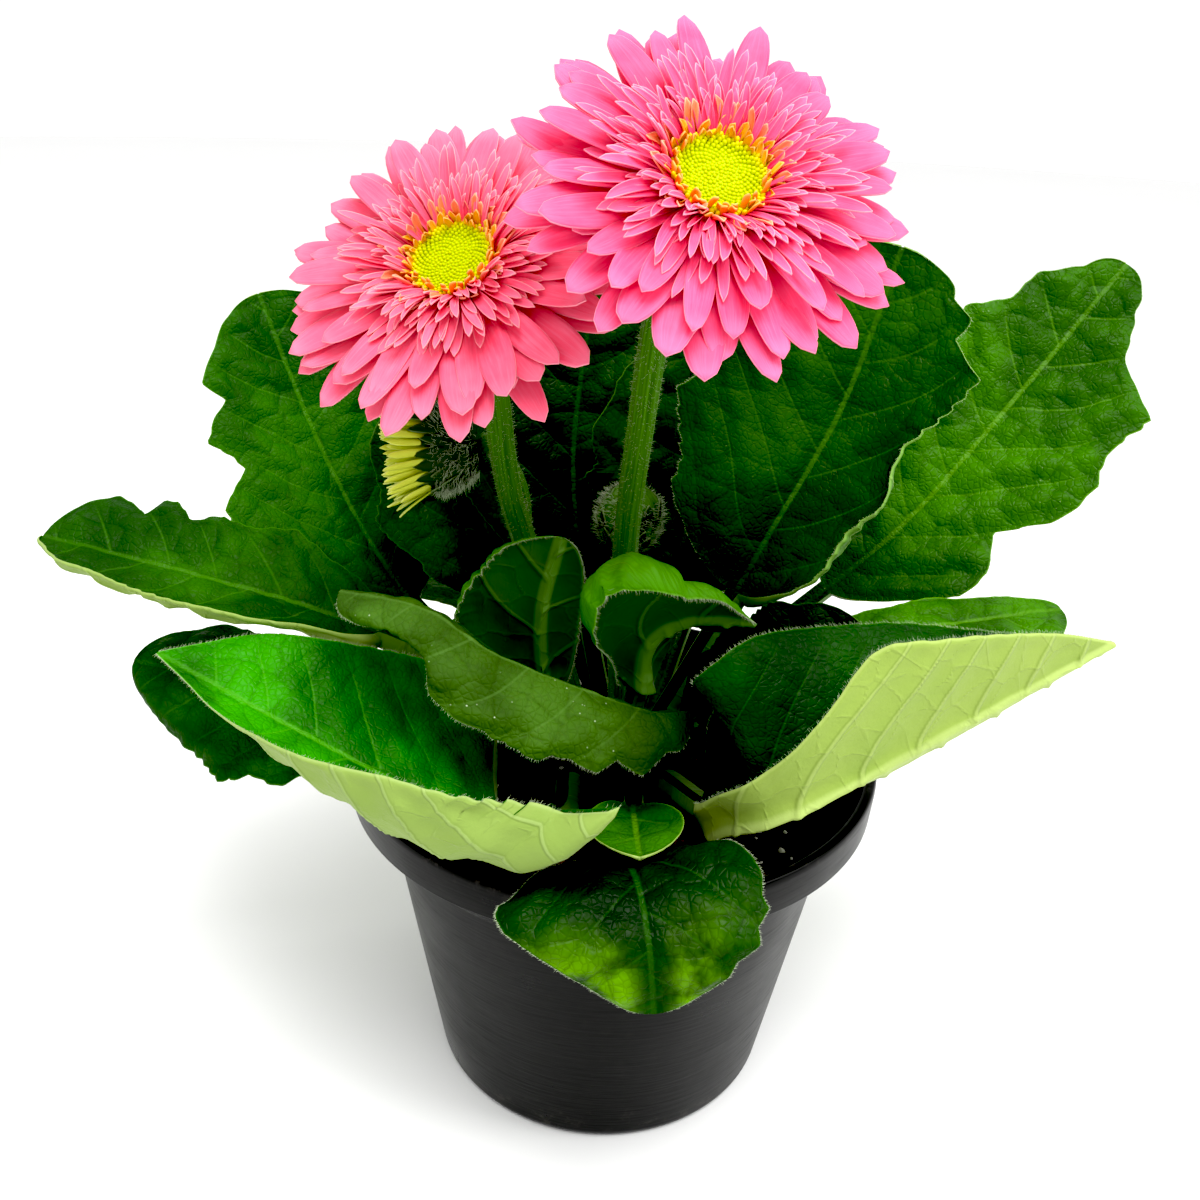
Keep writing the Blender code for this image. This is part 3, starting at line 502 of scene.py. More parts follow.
# %% The leaves, one by one
PETIOLE_RADIUS = 2.4
SMOOTH = [(0, 1), (1, 1)]
UPRIGHT = [(0, -0.9, 0.4), (0, -0.95, 0.3)]
LYING = [(0, -0.3, 0.95), (0, 0.1, 0.99)]
LEAVES = {
    "leaf_right_tall": dict(
        midrib=[(15, 13, 92), (40, 26, 114), (77, 34, 147), (105, 44, 181), (133, 56, 217)],
        start=0.34, widths=(25, 29), faces=[(-0.35, -0.75, 0.55), (-0.35, -0.85, 0.4)], left=(8, 15),
        right=(8, 5), edge_left=[(0, 1), (0.3, 0.9), (0.45, 1.05), (0.52, 0.9), (0.71, 1.1), (0.79, 0.8),
        (0.87, 0.9), (0.94, 0.65), (1, 0.7)], edge_right=[(0, 0.8), (0.12, 1), (0.2, 1.2), (0.27, 1.05),
        (0.34, 0.7), (0.44, 1.05), (0.55, 1.1), (0.58, 1), (0.65, 1), (0.73, 1.15), (0.81, 0.65),
        (0.92, 0.57), (0.96, 0.65), (1, 0.7)], quilt=0.85),
    "leaf_right_inner": dict(
        midrib=[(9, 4, 95), (22, 5, 122), (37, 8, 153), (53, 14, 186), (63, 16, 225)],
        start=0.34, widths=(37, 36), faces=[(-0.25, -0.9, 0.35), (-0.2, -0.95, 0.2)], left=(12, 10),
        right=(10, (95, 95, 80, 25, 10)), edge_right=[(0, 0.9), (0.2, 0.95), (0.3, 0.8), (0.4, 0.85),
        (0.5, 0.65), (0.55, 0.58), (0.61, 0.62), (0.7, 0.75), (0.76, 0.87), (0.83, 0.65), (0.89, 0.87),
        (0.92, 0.75), (0.95, 0.85), (1, 0.9)], quilt=0.5),
    "leaf_back_centre": dict(
        midrib=[(-2, 13.5, 95), (-9, 34, 120), (-14, 46, 160), (-10, 54, 205)],
        start=0.34, widths=(32, 32), faces=UPRIGHT, left=(10, 15), right=(10, 15)),
    "leaf_back_right": dict(
        midrib=[(5, 12, 95), (14, 30, 125), (20, 34, 160), (14, 36, 197)],
        start=0.34, widths=(29, 29), faces=UPRIGHT, left=(10, 15), right=(10, 15)),
    "leaf_back_left": dict(
        midrib=[(-9, 13, 95.5), (-29, 36, 120), (-44, 52, 150), (-50, 62, 186)],
        start=0.34, widths=(27, 27), faces=[(0.2, -0.9, 0.4), (0.2, -0.95, 0.3)], left=(10, 15),
        right=(10, 15)),
    "leaf_left_tall": dict(
        midrib=[(-16, 12, 91), (-40, 23, 106), (-64, 37, 124), (-87, 55, 156), (-106, 70, 197)],
        start=0.36, widths=(29, 29), faces=[(0.45, -0.6, 0.65), (0.4, -0.8, 0.4)], left=(8, 10),
        right=(8, 10), edge_left=[(0, 1), (0.3, 1), (0.37, 1.25), (0.44, 1.2), (0.53, 0.78), (0.58, 0.85),
        (0.63, 1.02), (0.67, 0.95), (0.73, 0.78), (0.79, 1), (0.88, 0.9), (0.95, 0.85), (1, 0.8)]),
    "leaf_left_far": dict(
        midrib=[(-18, 5, 92), (-42, 2, 115), (-72, 0, 130), (-112, 4, 139), (-150, 10, 145)],
        start=0.38, widths=(26, 25), faces=[(0.1, -0.35, 0.93), (0, -0.35, 0.93)], left=(5, 80), right=(5, 5),
        edge_left=[(0, 1), (0.4, 0.9), (0.55, 0.85), (0.67, 0.9), (0.83, 0.85), (0.96, 0.55), (1, 0.55)],
        edge_right=[(0, 0.9), (0.2, 0.8), (0.33, 0.9), (0.45, 0.7), (0.57, 0.75), (0.63, 0.6), (0.7, 0.85),
        (0.74, 0.87), (0.77, 0.62), (0.87, 1), (1, 1)]),
    "leaf_front_left": dict(
        midrib=[(-12, -13, 92), (-13, -33, 96), (-24, -42, 100), (-44, -42, 105), (-74, -38, 119),
                (-109, -27, 132)],
        start=0.30, widths=(48, 35), faces=[(0.1, -0.1, 0.98), (0.2, -0.3, 0.9)], left=(5,
        (108, 112, 105, 80, 30, 5)), right=(5, 12), bend=1.5, sweep=-0.55,
        lobe_left=(0.85, 1, 0.92, 0.62, 0.28, 0.1, 0), lobe_right=(0.5, 0.95, 1, 0.92, 0.8, 0.62, 0.4, 0),
        edge_left=[(0, 0.9), (0.05, 1.2), (0.1, 0.9), (0.3, 1), (1, 1)], edge_right=SMOOTH, teeth=0.012,
        quilt=0.45),
    "leaf_arched": dict(
        midrib=[(7, -6, 95), (15, -12, 110), (18, -20, 118), (6, -28, 123), (-26, -32, 137), (-45, -30, 148),
                (-66, -22, 148)],
        start=0.24, widths=(22, 15), faces=[(0.2, -0.3, 0.9), (0.1, -0.3, 0.9)], left=(-20, -30),
        right=((-45, -55, -60, -45, -30), -45), edge_left=[(0, 0.65), (0.04, 0.69), (0.07, 0.87), (0.1, 0.73),
        (0.14, 1.1), (0.2, 0.77), (0.24, 0.98), (0.31, 0.81), (0.36, 0.8), (0.39, 0.9), (0.45, 0.81),
        (0.53, 0.77), (0.6, 0.77), (0.64, 0.73), (0.7, 0.48), (0.83, 0.38), (0.93, 0.53), (1, 0.8)],
        quilt=0.55),
    "leaf_young_left": dict(
        midrib=[(-8, -5, 95), (-17, -6, 114), (-19.5, -7, 136), (-15, -6, 157)],
        start=0.34, widths=(9, 27), faces=[(0.1, 0.95, 0.3), (0.1, 0.95, 0.3)], left=(5, -60),
        right=(-10, -90), bend=4.0, edge_left=[(0, 1), (0.5, 1), (1, 1.2)], edge_right=[(0, 0.6), (0.2, 0.9),
        (0.36, 1.1), (0.42, 1.1), (0.5, 0.85), (0.75, 0.75), (0.85, 0.8), (1, 0.9)], teeth=0.06, quilt=0.5),
    "leaf_young_right": dict(
        midrib=[(2, -9, 95), (5, -10, 120), (8, -12, 134), (18, -14, 140), (33, -15, 140)],
        start=0.36, widths=(12, 43), faces=[(-0.3, 0.8, 0.5), (-0.3, 0.8, 0.5)],
        lobe_right=(0.1, 0.2, 0.45, 1, 0.5, 0.25, 0), left=(15, 20), right=(10, -150), bend=5.0, teeth=0.05,
        quilt=0.5),
    "leaf_front_right": dict(
        midrib=[(14, -10, 91), (27, -37, 99), (42, -48, 110), (77, -38, 126), (117, -22, 142)],
        start=0.16, widths=(42, 31), faces=[(-0.2, -0.1, 0.97), (-0.2, -0.2, 0.95)],
        left=((65, 60, 40, 15, 0), 10), right=((30, 80, 85, 85, 85), 12), sweep=-0.25,
        lobe_left=(0.25, 0.7, 0.9, 0.8, 0.6, 0.4, 0),
        lobe_right=(0.1, 0.24, 0.38, 0.70, 1, 0.85, 0.62, 0.35, 0), edge_left=SMOOTH, edge_right=SMOOTH,
        teeth=0.012, quilt=0.3),
    "leaf_front_small": dict(
        midrib=[(6, -17, 91), (5, -39, 101), (6, -62, 105)],
        start=0.45, widths=(10, 10), faces=[(0, -0.4, 0.9), (0, -0.4, 0.9)], left=(5, 20), right=(5, 20),
        edge_left=SMOOTH, edge_right=SMOOTH, teeth=0.02, quilt=0.25),
    "leaf_front_drooping": dict(
        midrib=[(-1, -18, 91), (1, -44, 93), (5, -66, 103), (8, -80, 97), (9.9, -84.6, 81.3)],
        start=0.40, widths=(25, 25), faces=[(0, -0.2, 0.98), (0, -0.9, 0.4)], left=(3, -5), right=(3, -5),
        edge_left=[(0, 1), (0.48, 1.01), (0.56, 0.96), (0.61, 1.01), (0.67, 0.92), (0.73, 0.96), (0.78, 0.79),
        (0.84, 0.79), (0.93, 0.66), (0.97, 0.64), (1, 0.66)], edge_right=[(0, 1.2), (0.3, 1.25), (0.45, 1.22),
        (0.55, 1.14), (0.68, 0.92), (0.86, 0.68), (0.94, 0.62), (0.97, 0.62), (1, 0.66)], teeth=0.01,
        quilt=0.6),
    "leaf_left_low": dict(
        midrib=[(-17, -6, 90), (-42, -6, 102), (-72, -4, 107), (-100, 0, 109), (-128, 3, 113)],
        start=0.40, widths=(27, 18), faces=[(0, -0.1, 0.98), (0, -0.3, 0.95)], left=(-8, -45), right=(5, 5),
        edge_left=[(0, 1), (0.15, 1), (0.23, 1.05), (0.29, 1.1), (0.4, 0.9), (0.51, 0.97), (0.61, 0.8),
        (0.78, 0.7), (1, 0.55)]),
    "leaf_right_low": dict(
        midrib=[(18, 3, 91), (38, -2, 118), (60, -1, 129), (90, 5, 133), (116, 9, 136)],
        start=0.36, widths=(8, 20), faces=[(0, -0.2, 0.98), (0, -0.2, 0.98)], left=(5, 5), right=(5, 5)),
    "leaf_heart_right": dict(
        midrib=[(12.5, -4, 93), (26, -12, 109), (43, -15.5, 124), (60, -14, 139)],
        start=0.20, widths=(19, 20), faces=[(-0.3, -0.75, 0.6), (-0.3, -0.75, 0.6)], left=(10, 15),
        right=(10, 15), quilt=0.5),
    "leaf_rear_right": dict(
        midrib=[(10, 17, 91), (26, 58, 118), (46, 96, 135), (58, 128, 138)],
        start=0.36, widths=(26, 26), faces=LYING, left=(8, 5), right=(8, 5)),
    "leaf_rear": dict(
        midrib=[(2, 20, 91), (-2, 60, 112), (-8, 100, 124), (-10, 136, 126)],
        start=0.36, widths=(24, 26), faces=LYING, left=(8, 5), right=(8, 5)),
    "leaf_rear_left": dict(
        midrib=[(-6, 19, 91), (-34, 56, 108), (-62, 88, 116), (-84, 110, 116)],
        start=0.36, widths=(26, 24), faces=LYING, left=(8, 5), right=(8, 5)),
}
print(len(LEAVES), "leaves")

# %% [markdown]
# The blade's outline has two scales: a few broad lobes that lean towards the tip, and small teeth on them.
# Both are saw waves, softened where they turn, that only push the outer third of the blade, so that the veins
# stay calm.

# %% The outline and the fold of a blade
LEAF_ROWS, LEAF_COLUMNS = 190, 65
HALF_STEPS = LEAF_COLUMNS // 2
LOBES, LOBE_DEPTH, TEETH, TOOTH_DEPTH = 4.0, 0.12, 19, 0.035


def saw(x, lean=0.68):
    """Waves from -0.5 to 0.5 that climb over the share lean of each step and fall over the rest."""
    part = x - np.floor(x)
    climb = np.where(part < lean, part / lean, (1 - part) / (1 - lean))
    return climb * climb * (3 - 2 * climb) * 0.4 + climb * 0.6 - 0.5


def half_section(angle, bend, power, across):
    """Walks out from the midrib along one half of a blade whose angle grows from angle by bend (degrees)
    at the margin. Gives the distance out and the height, per unit of half width."""
    steps = np.linspace(0, 1, HALF_STEPS + 1)
    turn = np.radians(angle[:, None] + bend[:, None] * steps**power)
    out = np.cumsum(np.cos(turn), axis=1)
    rise = np.cumsum(np.sin(turn), axis=1)
    index = np.rint(across * HALF_STEPS).astype(int)
    return ((out - out[:, :1]) / HALF_STEPS)[:, index], ((rise - rise[:, :1]) / HALF_STEPS)[:, index]


def at_steps(values, blade):
    """Numbers given at equal steps from the blade's base to its tip, read between them."""
    values = np.atleast_1d(np.array(values, float))
    return np.interp(blade, np.linspace(0, 1, len(values)), values)


def outline(leaf, side, blade, seed):
    """The outline of one half as a share of its plain oval: the lobes and notches that the table names by
    their share of the length, or else a few leaning lobes, with small teeth on either."""
    shift = 0.31 * seed + (0.4 if side == "left" else 0.0)
    if "edge_" + side in leaf:
        share_of_length, share_of_oval = np.array(leaf["edge_" + side], float).T
        lobes = np.interp(blade, share_of_length, share_of_oval)
    else:
        lobes = 1 + LOBE_DEPTH * saw(blade * LOBES + shift) * ease(blade, 0.02, 0.2) * ease(1 - blade, 0, 0.12)
    size = leaf.get("teeth", TOOTH_DEPTH) * (0.4 + 0.6 * ease(ripple(blade * 100, 0 * blade, seed, 31), -0.6, 0.6))
    teeth = size * saw(blade * TEETH + 1.3 * ripple(blade * 100, 0 * blade, seed + 5, 40) + shift, 0.7)
    return lobes + teeth * ease(blade, 0.0, 0.1)


def blade_sheet(leaf, rows, columns, seed):
    """The smooth upper side of a leaf: rows cross the midrib from margin to margin. Gives its points, and
    over the same grid the share of the blade's length, the share of the half width and the width itself."""
    along = 1 - (1 - np.linspace(0, 1, rows)) ** 1.2
    middle = smooth_route(leaf["midrib"], along)
    blade = np.clip((along - leaf["start"]) / (1 - leaf["start"]), 0, 1)
    tangent = unit(np.gradient(middle, axis=0))
    base_face, tip_face = unit(np.array(leaf["faces"], float))
    side = unit(np.cross(tangent, base_face * (1 - blade[:, None]) + tip_face * blade[:, None]))
    normal = unit(np.cross(side, tangent))
    across = np.linspace(-1, 1, columns)
    width, out, rise = (np.zeros((rows, columns)) for _ in range(3))
    for sign, key, size in ((-1, "left", leaf["widths"][0]), (1, "right", leaf["widths"][1])):
        half = across >= 0 if sign > 0 else across < 0
        lobe = leaf.get("lobe_" + key)
        plain = oval(blade) if lobe is None else smooth_values(lobe, blade) * ease(blade, 0, 0.05)
        push = 1 + (outline(leaf, key, blade, seed)[:, None] - 1) * np.abs(across[half])
        width[:, half] = PETIOLE_RADIUS * (1 - 0.85 * blade[:, None]) + size * plain[:, None] * push
        angle, bend = (at_steps(knots, blade) for knots in leaf[key])
        part_out, part_up = half_section(angle, bend, leaf.get("bend", 2.0), np.abs(across[half]))
        out[:, half] = sign * part_out * width[:, half]
        rise[:, half] = part_up * width[:, half]
    points = middle[:, None] + side[:, None] * out[..., None] + normal[:, None] * rise[..., None]
    back = leaf.get("sweep", 0) * np.where(across < 0, np.abs(across) ** 1.5, 0) * width
    points += tangent[:, None] * (back * np.clip(1 - 1.6 * blade, 0, 1)[:, None])[..., None]
    length = np.append(0, np.cumsum(np.linalg.norm(np.diff(middle, axis=0), axis=1)))
    return points, blade[:, None] + 0 * across, across + 0 * blade[:, None], width, length


def sheet_normals(points):
    """Unit normals of a grid of points, from the cross product of its two directions."""
    return unit(np.cross(np.gradient(points, axis=1), np.gradient(points, axis=0)))


print("a leaf has", 2 * LEAF_ROWS * LEAF_COLUMNS, "points")

# %% [markdown]
# Side veins leave the midrib at about half a right angle and curve towards the tip. The blade is sunken along
# them and pillowed between them, and each pillow is broken up by the small net of veins. The side veins come
# from a formula, and the net from the distance to scattered points: where the two nearest are equally far, a
# small vein runs. Both are kept on the mesh as numbers, so that the finish can draw fine lines there.

# %% Veins and pillows
VEIN_SPACING = 15.0
GAP_SPAN = 0.8 * VEIN_SPACING
NET_PITCH = 8.0


def vein_number(x, y, seed):
    """Counts side veins: whole numbers lie on a vein. It is the height y along the midrib, less the way that
    a vein climbs at the distance |x| from it, in steps of the spacing."""
    climb = 0.62 * np.abs(x) + 0.014 * x * x
    wander = 0.10 * ripple(x, y, seed + 70, 38)
    return (y - climb) / VEIN_SPACING + np.where(x > 0, 0.45, 0.0) + wander


def cell_gap(x, y, pitch, seed):
    """How much further the second nearest scattered point is than the nearest: 0 on the net of small veins.
    Points are jittered over a square grid of the given pitch, and nine neighbours are looked at."""
    i, j = np.floor(x / pitch), np.floor(y / pitch)
    near, second = np.full(x.shape, 9e9), np.full(x.shape, 9e9)
    for a, b in ((a, b) for a in (-1, 0, 1) for b in (-1, 0, 1)):
        u, v = i + a, j + b
        jitter = np.sin(u * 127.1 + v * 311.7 + seed * 7.3) * 43758.5453
        jitter2 = np.sin(u * 269.5 + v * 183.3 + seed * 3.1) * 24634.6345
        px = (u + 0.15 + 0.7 * (jitter - np.floor(jitter))) * pitch
        py = (v + 0.15 + 0.7 * (jitter2 - np.floor(jitter2))) * pitch
        far = np.hypot(x - px, y - py)
        second = np.minimum(second, np.maximum(far, near))
        near = np.minimum(near, far)
    return second - near


margins = {}


def leaf_skin(name, leaf, seed):
    """The whole leaf: the sheet pushed along its normal by waves and pillows, doubled at the thickness of the
    blade, of its ribs below and of its stalk. Its margins are remembered, for the hairs that stand on them."""
    sheet, blade, across, width, length = blade_sheet(leaf, LEAF_ROWS, LEAF_COLUMNS, seed)
    normal = sheet_normals(sheet)
    x, y = across * width, length[:, None] + 0 * across
    number = vein_number(x, y, seed)
    to_vein = np.abs(number - np.round(number)) * GAP_SPAN
    gap = cell_gap(x + 2.0 * ripple(x, y, seed, 17), y, NET_PITCH, seed)
    edge = (1 - np.abs(across)) * width
    inside = ease(edge, 0.0, 5.0) * ease(blade, 0.0, 0.12) * ease(1 - blade, 0.0, 0.08)
    quilt = leaf.get("quilt", 0.8)
    pillow = 1.7 * ease(to_vein, 0.0, 6.0) * ease(np.abs(x), 0.8, 7.0) + 0.6 * ease(gap, 0.0, 4.5)
    pillow = pillow * quilt * inside
    wave = 0.07 * width * ripple(x, y, seed + 9, 34) * np.abs(across) ** 1.6 * ease(blade, 0.0, 0.2)
    channel = 0.9 * (1 - 0.8 * blade) * (across**2 - 0.3) * ease(1 - blade * 3, 0, 1)
    groove = -0.5 * np.exp(-(x / 1.1) ** 2) * (1 - 0.8 * blade) * ease(blade, 0, 0.05)
    top = sheet + normal * (pillow + wave + channel + groove)[..., None]
    rib = (3.4 * (1 - blade) ** 1.3 + 0.5) * np.exp(-(x / (2.4 - 1.5 * blade)) ** 2) * ease(blade, 0, 0.05)
    side_rib = 0.7 * np.exp(-(to_vein / 0.75) ** 2) * inside * (1 - 0.6 * np.abs(across))
    stalk = 3.6 * np.sqrt(np.clip(1 - across**2, 0, 1)) * ease(1 - blade * 7, 0, 1)
    depth = 0.42 + (rib + side_rib) * ease(blade * 20, 0, 1) + stalk
    below = top - normal * (depth * ease(edge, -0.2, 0.6) + 0.12)[..., None]
    rings = np.concatenate([top, below[:, ::-1]], axis=1)
    values = {"vein_at": number, "net": gap, "edge": edge, "rib_at": np.abs(x), "blade": blade,
              "flat": np.stack([x, y, 0 * x + seed * 40.0], -1)}
    values = {key: there_and_back(value, 1) for key, value in values.items()}
    slots = np.where(np.arange(2 * LEAF_COLUMNS) < LEAF_COLUMNS - 1, 0, 1)
    grown = blade[:, 0] > 0.03
    margins[name] = np.stack([top[grown][:, [0, -1]], top[grown][:, [1, -2]]])
    return skin(name, rings, values, slots)


print("vein spacing", VEIN_SPACING, "mm")

# %% [markdown]
# The upper side is a deep green that turns lively in broad patches, with fine pale lines along the midrib and
# side veins. Dark lines along the small net are painted shade in its sunken lines, and the blade darkens to its
# base as painted shade from the crown and the leaves above. The underside is pale yellow-green, with its veins
# raised and paler still and painted shade beside them, and matt with fine down.

# %% Leaf finishes
def line_on(recipe, value, width, soft):
    """1 where value is under width, falling to 0 at width + soft."""
    return recipe.step(value, width + soft, width)


def darker(colour, share):
    """The colour with each of its parts multiplied by share."""
    return tuple(share * v for v in colour)


def blade_fields(recipe):
    """What the mesh keeps: place on the flattened blade, share of its length, and the distances from the
    nearest side vein, the midrib, the margin and the small net."""
    flat, blade = recipe.kept("flat", True), recipe.kept("blade")
    off = recipe.add("Math", recipe.sum(recipe.kept("vein_at"), 0.5), operation="FRACT")
    to_vein = recipe.times(recipe.add("Math", recipe.sum(off, -0.5), operation="ABSOLUTE"), GAP_SPAN)
    return flat, blade, to_vein, recipe.kept("rib_at"), recipe.kept("edge"), recipe.kept("net")


def upper_side(name, deep, lively, vein, roughness, speckle, patchy=0.0):
    recipe = Recipe(name, roughness=roughness, specular=0.12)
    flat, blade, to_vein, rib, edge, net = blade_fields(recipe)
    step, times, mix = recipe.step, recipe.times, recipe.mix
    broad = recipe.noise(flat, 0.035, 3, 0.6)
    fine = recipe.noise(flat, 0.6, 4, 0.65)
    small = recipe.cells(flat, 0.62)
    colour = mix(recipe.sum(step(broad, 0.35, 0.7), times(fine, 0.18)), deep, lively)
    if patchy:
        # Painted light: yellow-green patches low on the blade, where the leaf comes out of the shadow of the
        # leaves above.
        low = times(step(blade, 0.50, 0.88), step(rib, 0.8, 8.0))
        patches = times(step(recipe.noise(flat, 0.09, 3), 0.34, 0.62), times(low, patchy))
        colour = mix(patches, colour, (0.125, 0.32, 0.005))
    # Painted shade: the sunken small net and the edges of the small cells are drawn darker, as shade lies in them.
    colour = mix(times(line_on(recipe, net, 0.1, 0.8), 0.28), colour, darker(deep, 0.6))
    colour = mix(times(line_on(recipe, small, 0.03, 0.06), 0.16), colour, darker(deep, 0.5))
    veins = times(line_on(recipe, to_vein, 0.08, 0.35), times(step(edge, 0.5, 12.0), step(blade, 0.0, 0.1)))
    colour = mix(times(veins, 0.32), colour, vein)
    colour = mix(times(line_on(recipe, rib, 0.3, 0.6), step(blade, 1.0, 0.5, 0.3, 0.6)), colour, vein)
    colour = mix(step(edge, 0.55, 0.1, 0.0, 0.6), colour, darker(vein, 1.25))
    # Painted shade: the blade darkens to near black at its base, where the crown and the leaves above shade it.
    colour = mix(step(blade, 0.30, 0.0, 0.0, 0.75), colour, darker(deep, 0.35))
    dots = times(step(recipe.cells(flat, 0.55, "F1"), 0.13, 0.05), step(recipe.noise(flat, 0.11, 2), 0.5, 0.62))
    colour = mix(times(dots, speckle), colour, (0.5, 0.62, 0.4))
    gloss = step(fine, 0.3, 0.75, roughness - 0.06, roughness + 0.12)
    relief = recipe.sum(recipe.sum(step(small, 0.0, 0.22), times(step(net, 0.0, 1.4), 1.4)),
                        recipe.sum(times(step(to_vein, 0.0, 1.0), 1.2), times(fine, 0.7)))
    return recipe.done(colour, gloss, relief, 0.35, 0.0004)


def under_side(name, pale, vein, shade):
    recipe = Recipe(name, roughness=0.62, specular=0.15, Sheen_Weight=0.08, Sheen_Roughness=0.5)
    flat, blade, to_vein, rib, edge, net = blade_fields(recipe)
    step, times, mix = recipe.step, recipe.times, recipe.mix
    fine = recipe.noise(flat, 0.8, 4, 0.65)
    colour = mix(times(recipe.noise(flat, 0.05, 3), 1.2), shade, pale)
    # Painted shade: a darker band runs along each side of the raised side veins.
    shade_beside_vein = line_on(recipe, recipe.sum(to_vein, -0.55), 0.1, 0.6)
    colour = mix(times(shade_beside_vein, 0.3), colour, darker(shade, 0.62))
    for value, width, soft, share in ((net, 0.08, 0.4, 0.14), (to_vein, 0.25, 0.4, 0.5), (rib, 1.2, 1.0, 0.9)):
        colour = mix(times(line_on(recipe, value, width, soft), share), colour, vein)
    colour = mix(step(edge, 0.9, 0.1, 0.0, 0.6), colour, vein)
    colour = mix(step(blade, 0.05, 0.0, 0.0, 0.9), colour, (0.045, 0.12, 0.012))
    relief = recipe.sum(step(net, 0.9, 0.0), recipe.sum(step(to_vein, 1.0, 0.2), times(fine, 0.9)))
    return recipe.done(colour, None, relief, 0.4, 0.0005)


PALE_BELOW = (0.21, 0.31, 0.055), (0.30, 0.42, 0.11), (0.15, 0.25, 0.035)
LEAF_GREENS = {
    "leaf": ((0.012, 0.058, 0.0012), (0.040, 0.157, 0.003), (0.10, 0.255, 0.020), 0.42, 0.2, PALE_BELOW),
    "far": ((0.006, 0.042, 0.0008), (0.021, 0.108, 0.0015), (0.050, 0.175, 0.010), 0.5, 0.0, PALE_BELOW),
    # Painted shade: the deep row darkens the green of the leaf at the heart of the plant, where shade falls.
    "deep": ((0.002, 0.011, 0.0006), (0.007, 0.032, 0.001), (0.02, 0.07, 0.006), 0.46, 0.0,
            ((0.03, 0.09, 0.008), (0.06, 0.14, 0.02), (0.02, 0.06, 0.005))),
    "vivid": ((0.010, 0.085, 0.002), (0.030, 0.27, 0.004), (0.08, 0.33, 0.022), 0.42, 0.0,
            ((0.24, 0.34, 0.075), (0.32, 0.44, 0.14), (0.18, 0.28, 0.05))),
    # Painted shade: the dark row darkens the greens of the leaves behind the heads, where shade falls.
    "dark": ((0.004, 0.022, 0.0008), (0.013, 0.058, 0.0015), (0.035, 0.11, 0.010), 0.46, 0.0,
            ((0.04, 0.12, 0.01), (0.08, 0.18, 0.03), (0.025, 0.08, 0.006))),
    "inner": ((0.005, 0.032, 0.0008), (0.018, 0.085, 0.0015), (0.05, 0.16, 0.012), 0.44, 0.1,
            ((0.10, 0.24, 0.03), (0.20, 0.36, 0.07), (0.06, 0.17, 0.018))),
    "folded": ((0.0015, 0.022, 0.0005), (0.007, 0.062, 0.0008), (0.03, 0.12, 0.008), 0.45, 0.0,
            ((0.27, 0.37, 0.072), (0.36, 0.47, 0.13), (0.20, 0.30, 0.05))),
    # Painted shadow: the patchy row is near black where the leaves above shade the leaf hanging over the lip.
    "patchy": ((0.0008, 0.012, 0.0004), (0.008, 0.045, 0.001), (0.020, 0.085, 0.004), 0.42, 0.0,
            ((0.21, 0.32, 0.055), (0.32, 0.44, 0.11), (0.15, 0.25, 0.035)), 0.9),
    "old": ((0.026, 0.066, 0.008), (0.057, 0.142, 0.016), (0.10, 0.215, 0.04), 0.6, 0.8,
            ((0.10, 0.20, 0.02), (0.20, 0.30, 0.07), (0.06, 0.14, 0.012))),
    "young": ((0.03, 0.13, 0.004), (0.07, 0.25, 0.012), (0.16, 0.36, 0.05), 0.55, 0.1,
              ((0.030, 0.092, 0.010), (0.08, 0.19, 0.03), (0.016, 0.055, 0.006))),
}


LEAF_NAMES = {"leaf": "leaf {}", "old": "old leaf {}", "young": "young leaf {}"}


def leaf_pair(key, deep, lively, vein, roughness, speckle, below, patchy=0.0):
    """The finishes of a leaf's two sides."""
    name = LEAF_NAMES.get(key, "leaf {} " + key)
    above = upper_side(name.format("above"), deep, lively, vein, roughness, speckle, patchy)
    return above, under_side(name.format("below"), *below)


GREENS = {key: leaf_pair(key, *row) for key, row in LEAF_GREENS.items()}

# %% [markdown]
# Which green a leaf gets follows its age and place: old and floury over the front, young and downy at the
# heart, patchy on the one that hangs over the lip. The deep and dark greens of the leaves at the heart and
# behind the heads are painted shade. The one over the lip is near black with painted shadow from the leaves
# above, and its lighter patches low on the blade are painted light.

# %% Grow the leaves
GREEN_OF = {"leaf_arched": "old", "leaf_young_left": "young", "leaf_young_right": "young",
            "leaf_right_inner": "inner", "leaf_front_drooping": "patchy", "leaf_front_left": "vivid",
            "leaf_front_right": "folded", "leaf_back_centre": "dark", "leaf_back_right": "dark",
            "leaf_back_left": "dark", "leaf_heart_right": "deep", "leaf_left_tall": "far",
            "leaf_left_far": "far", "leaf_left_low": "far"}
SLOT_OF = {"leaf_arched": "old_leaf", "leaf_young_left": "young_leaf", "leaf_young_right": "young_leaf"}
for seed, (node, leaf) in enumerate(LEAVES.items()):
    grown = leaf_skin(node[5:] + "_leaf", leaf, seed + 1)
    finish_piece(grown, node, SLOT_OF.get(node, "leaf"), *GREENS[GREEN_OF.get(node, "leaf")])

# %% [markdown]
# ## Crown and stalks
# Everything rises from a short woolly crown. The flower stalks (scapes) are leafless, ribbed and downy. A
# curve with a bevel would give a plain round tube. Here each ring of the tube has shallow ribs, and fine
# hairs, each a tapered four-sided needle, stand on it.

# %% Tubes and hairs
def across_frame(middle):
    """Two unit directions across a route at each of its points, and its tangent."""
    tangent = unit(np.gradient(middle, axis=0))
    one = unit(np.cross(tangent, [0.31, 0.95, 0.02]))
    return one, np.cross(tangent, one), tangent


TUBE_RINGS, TUBE_POINTS, RIBS, RIB_DEPTH = 70, 40, 9, 0.05
TUBE_STEPS = 200


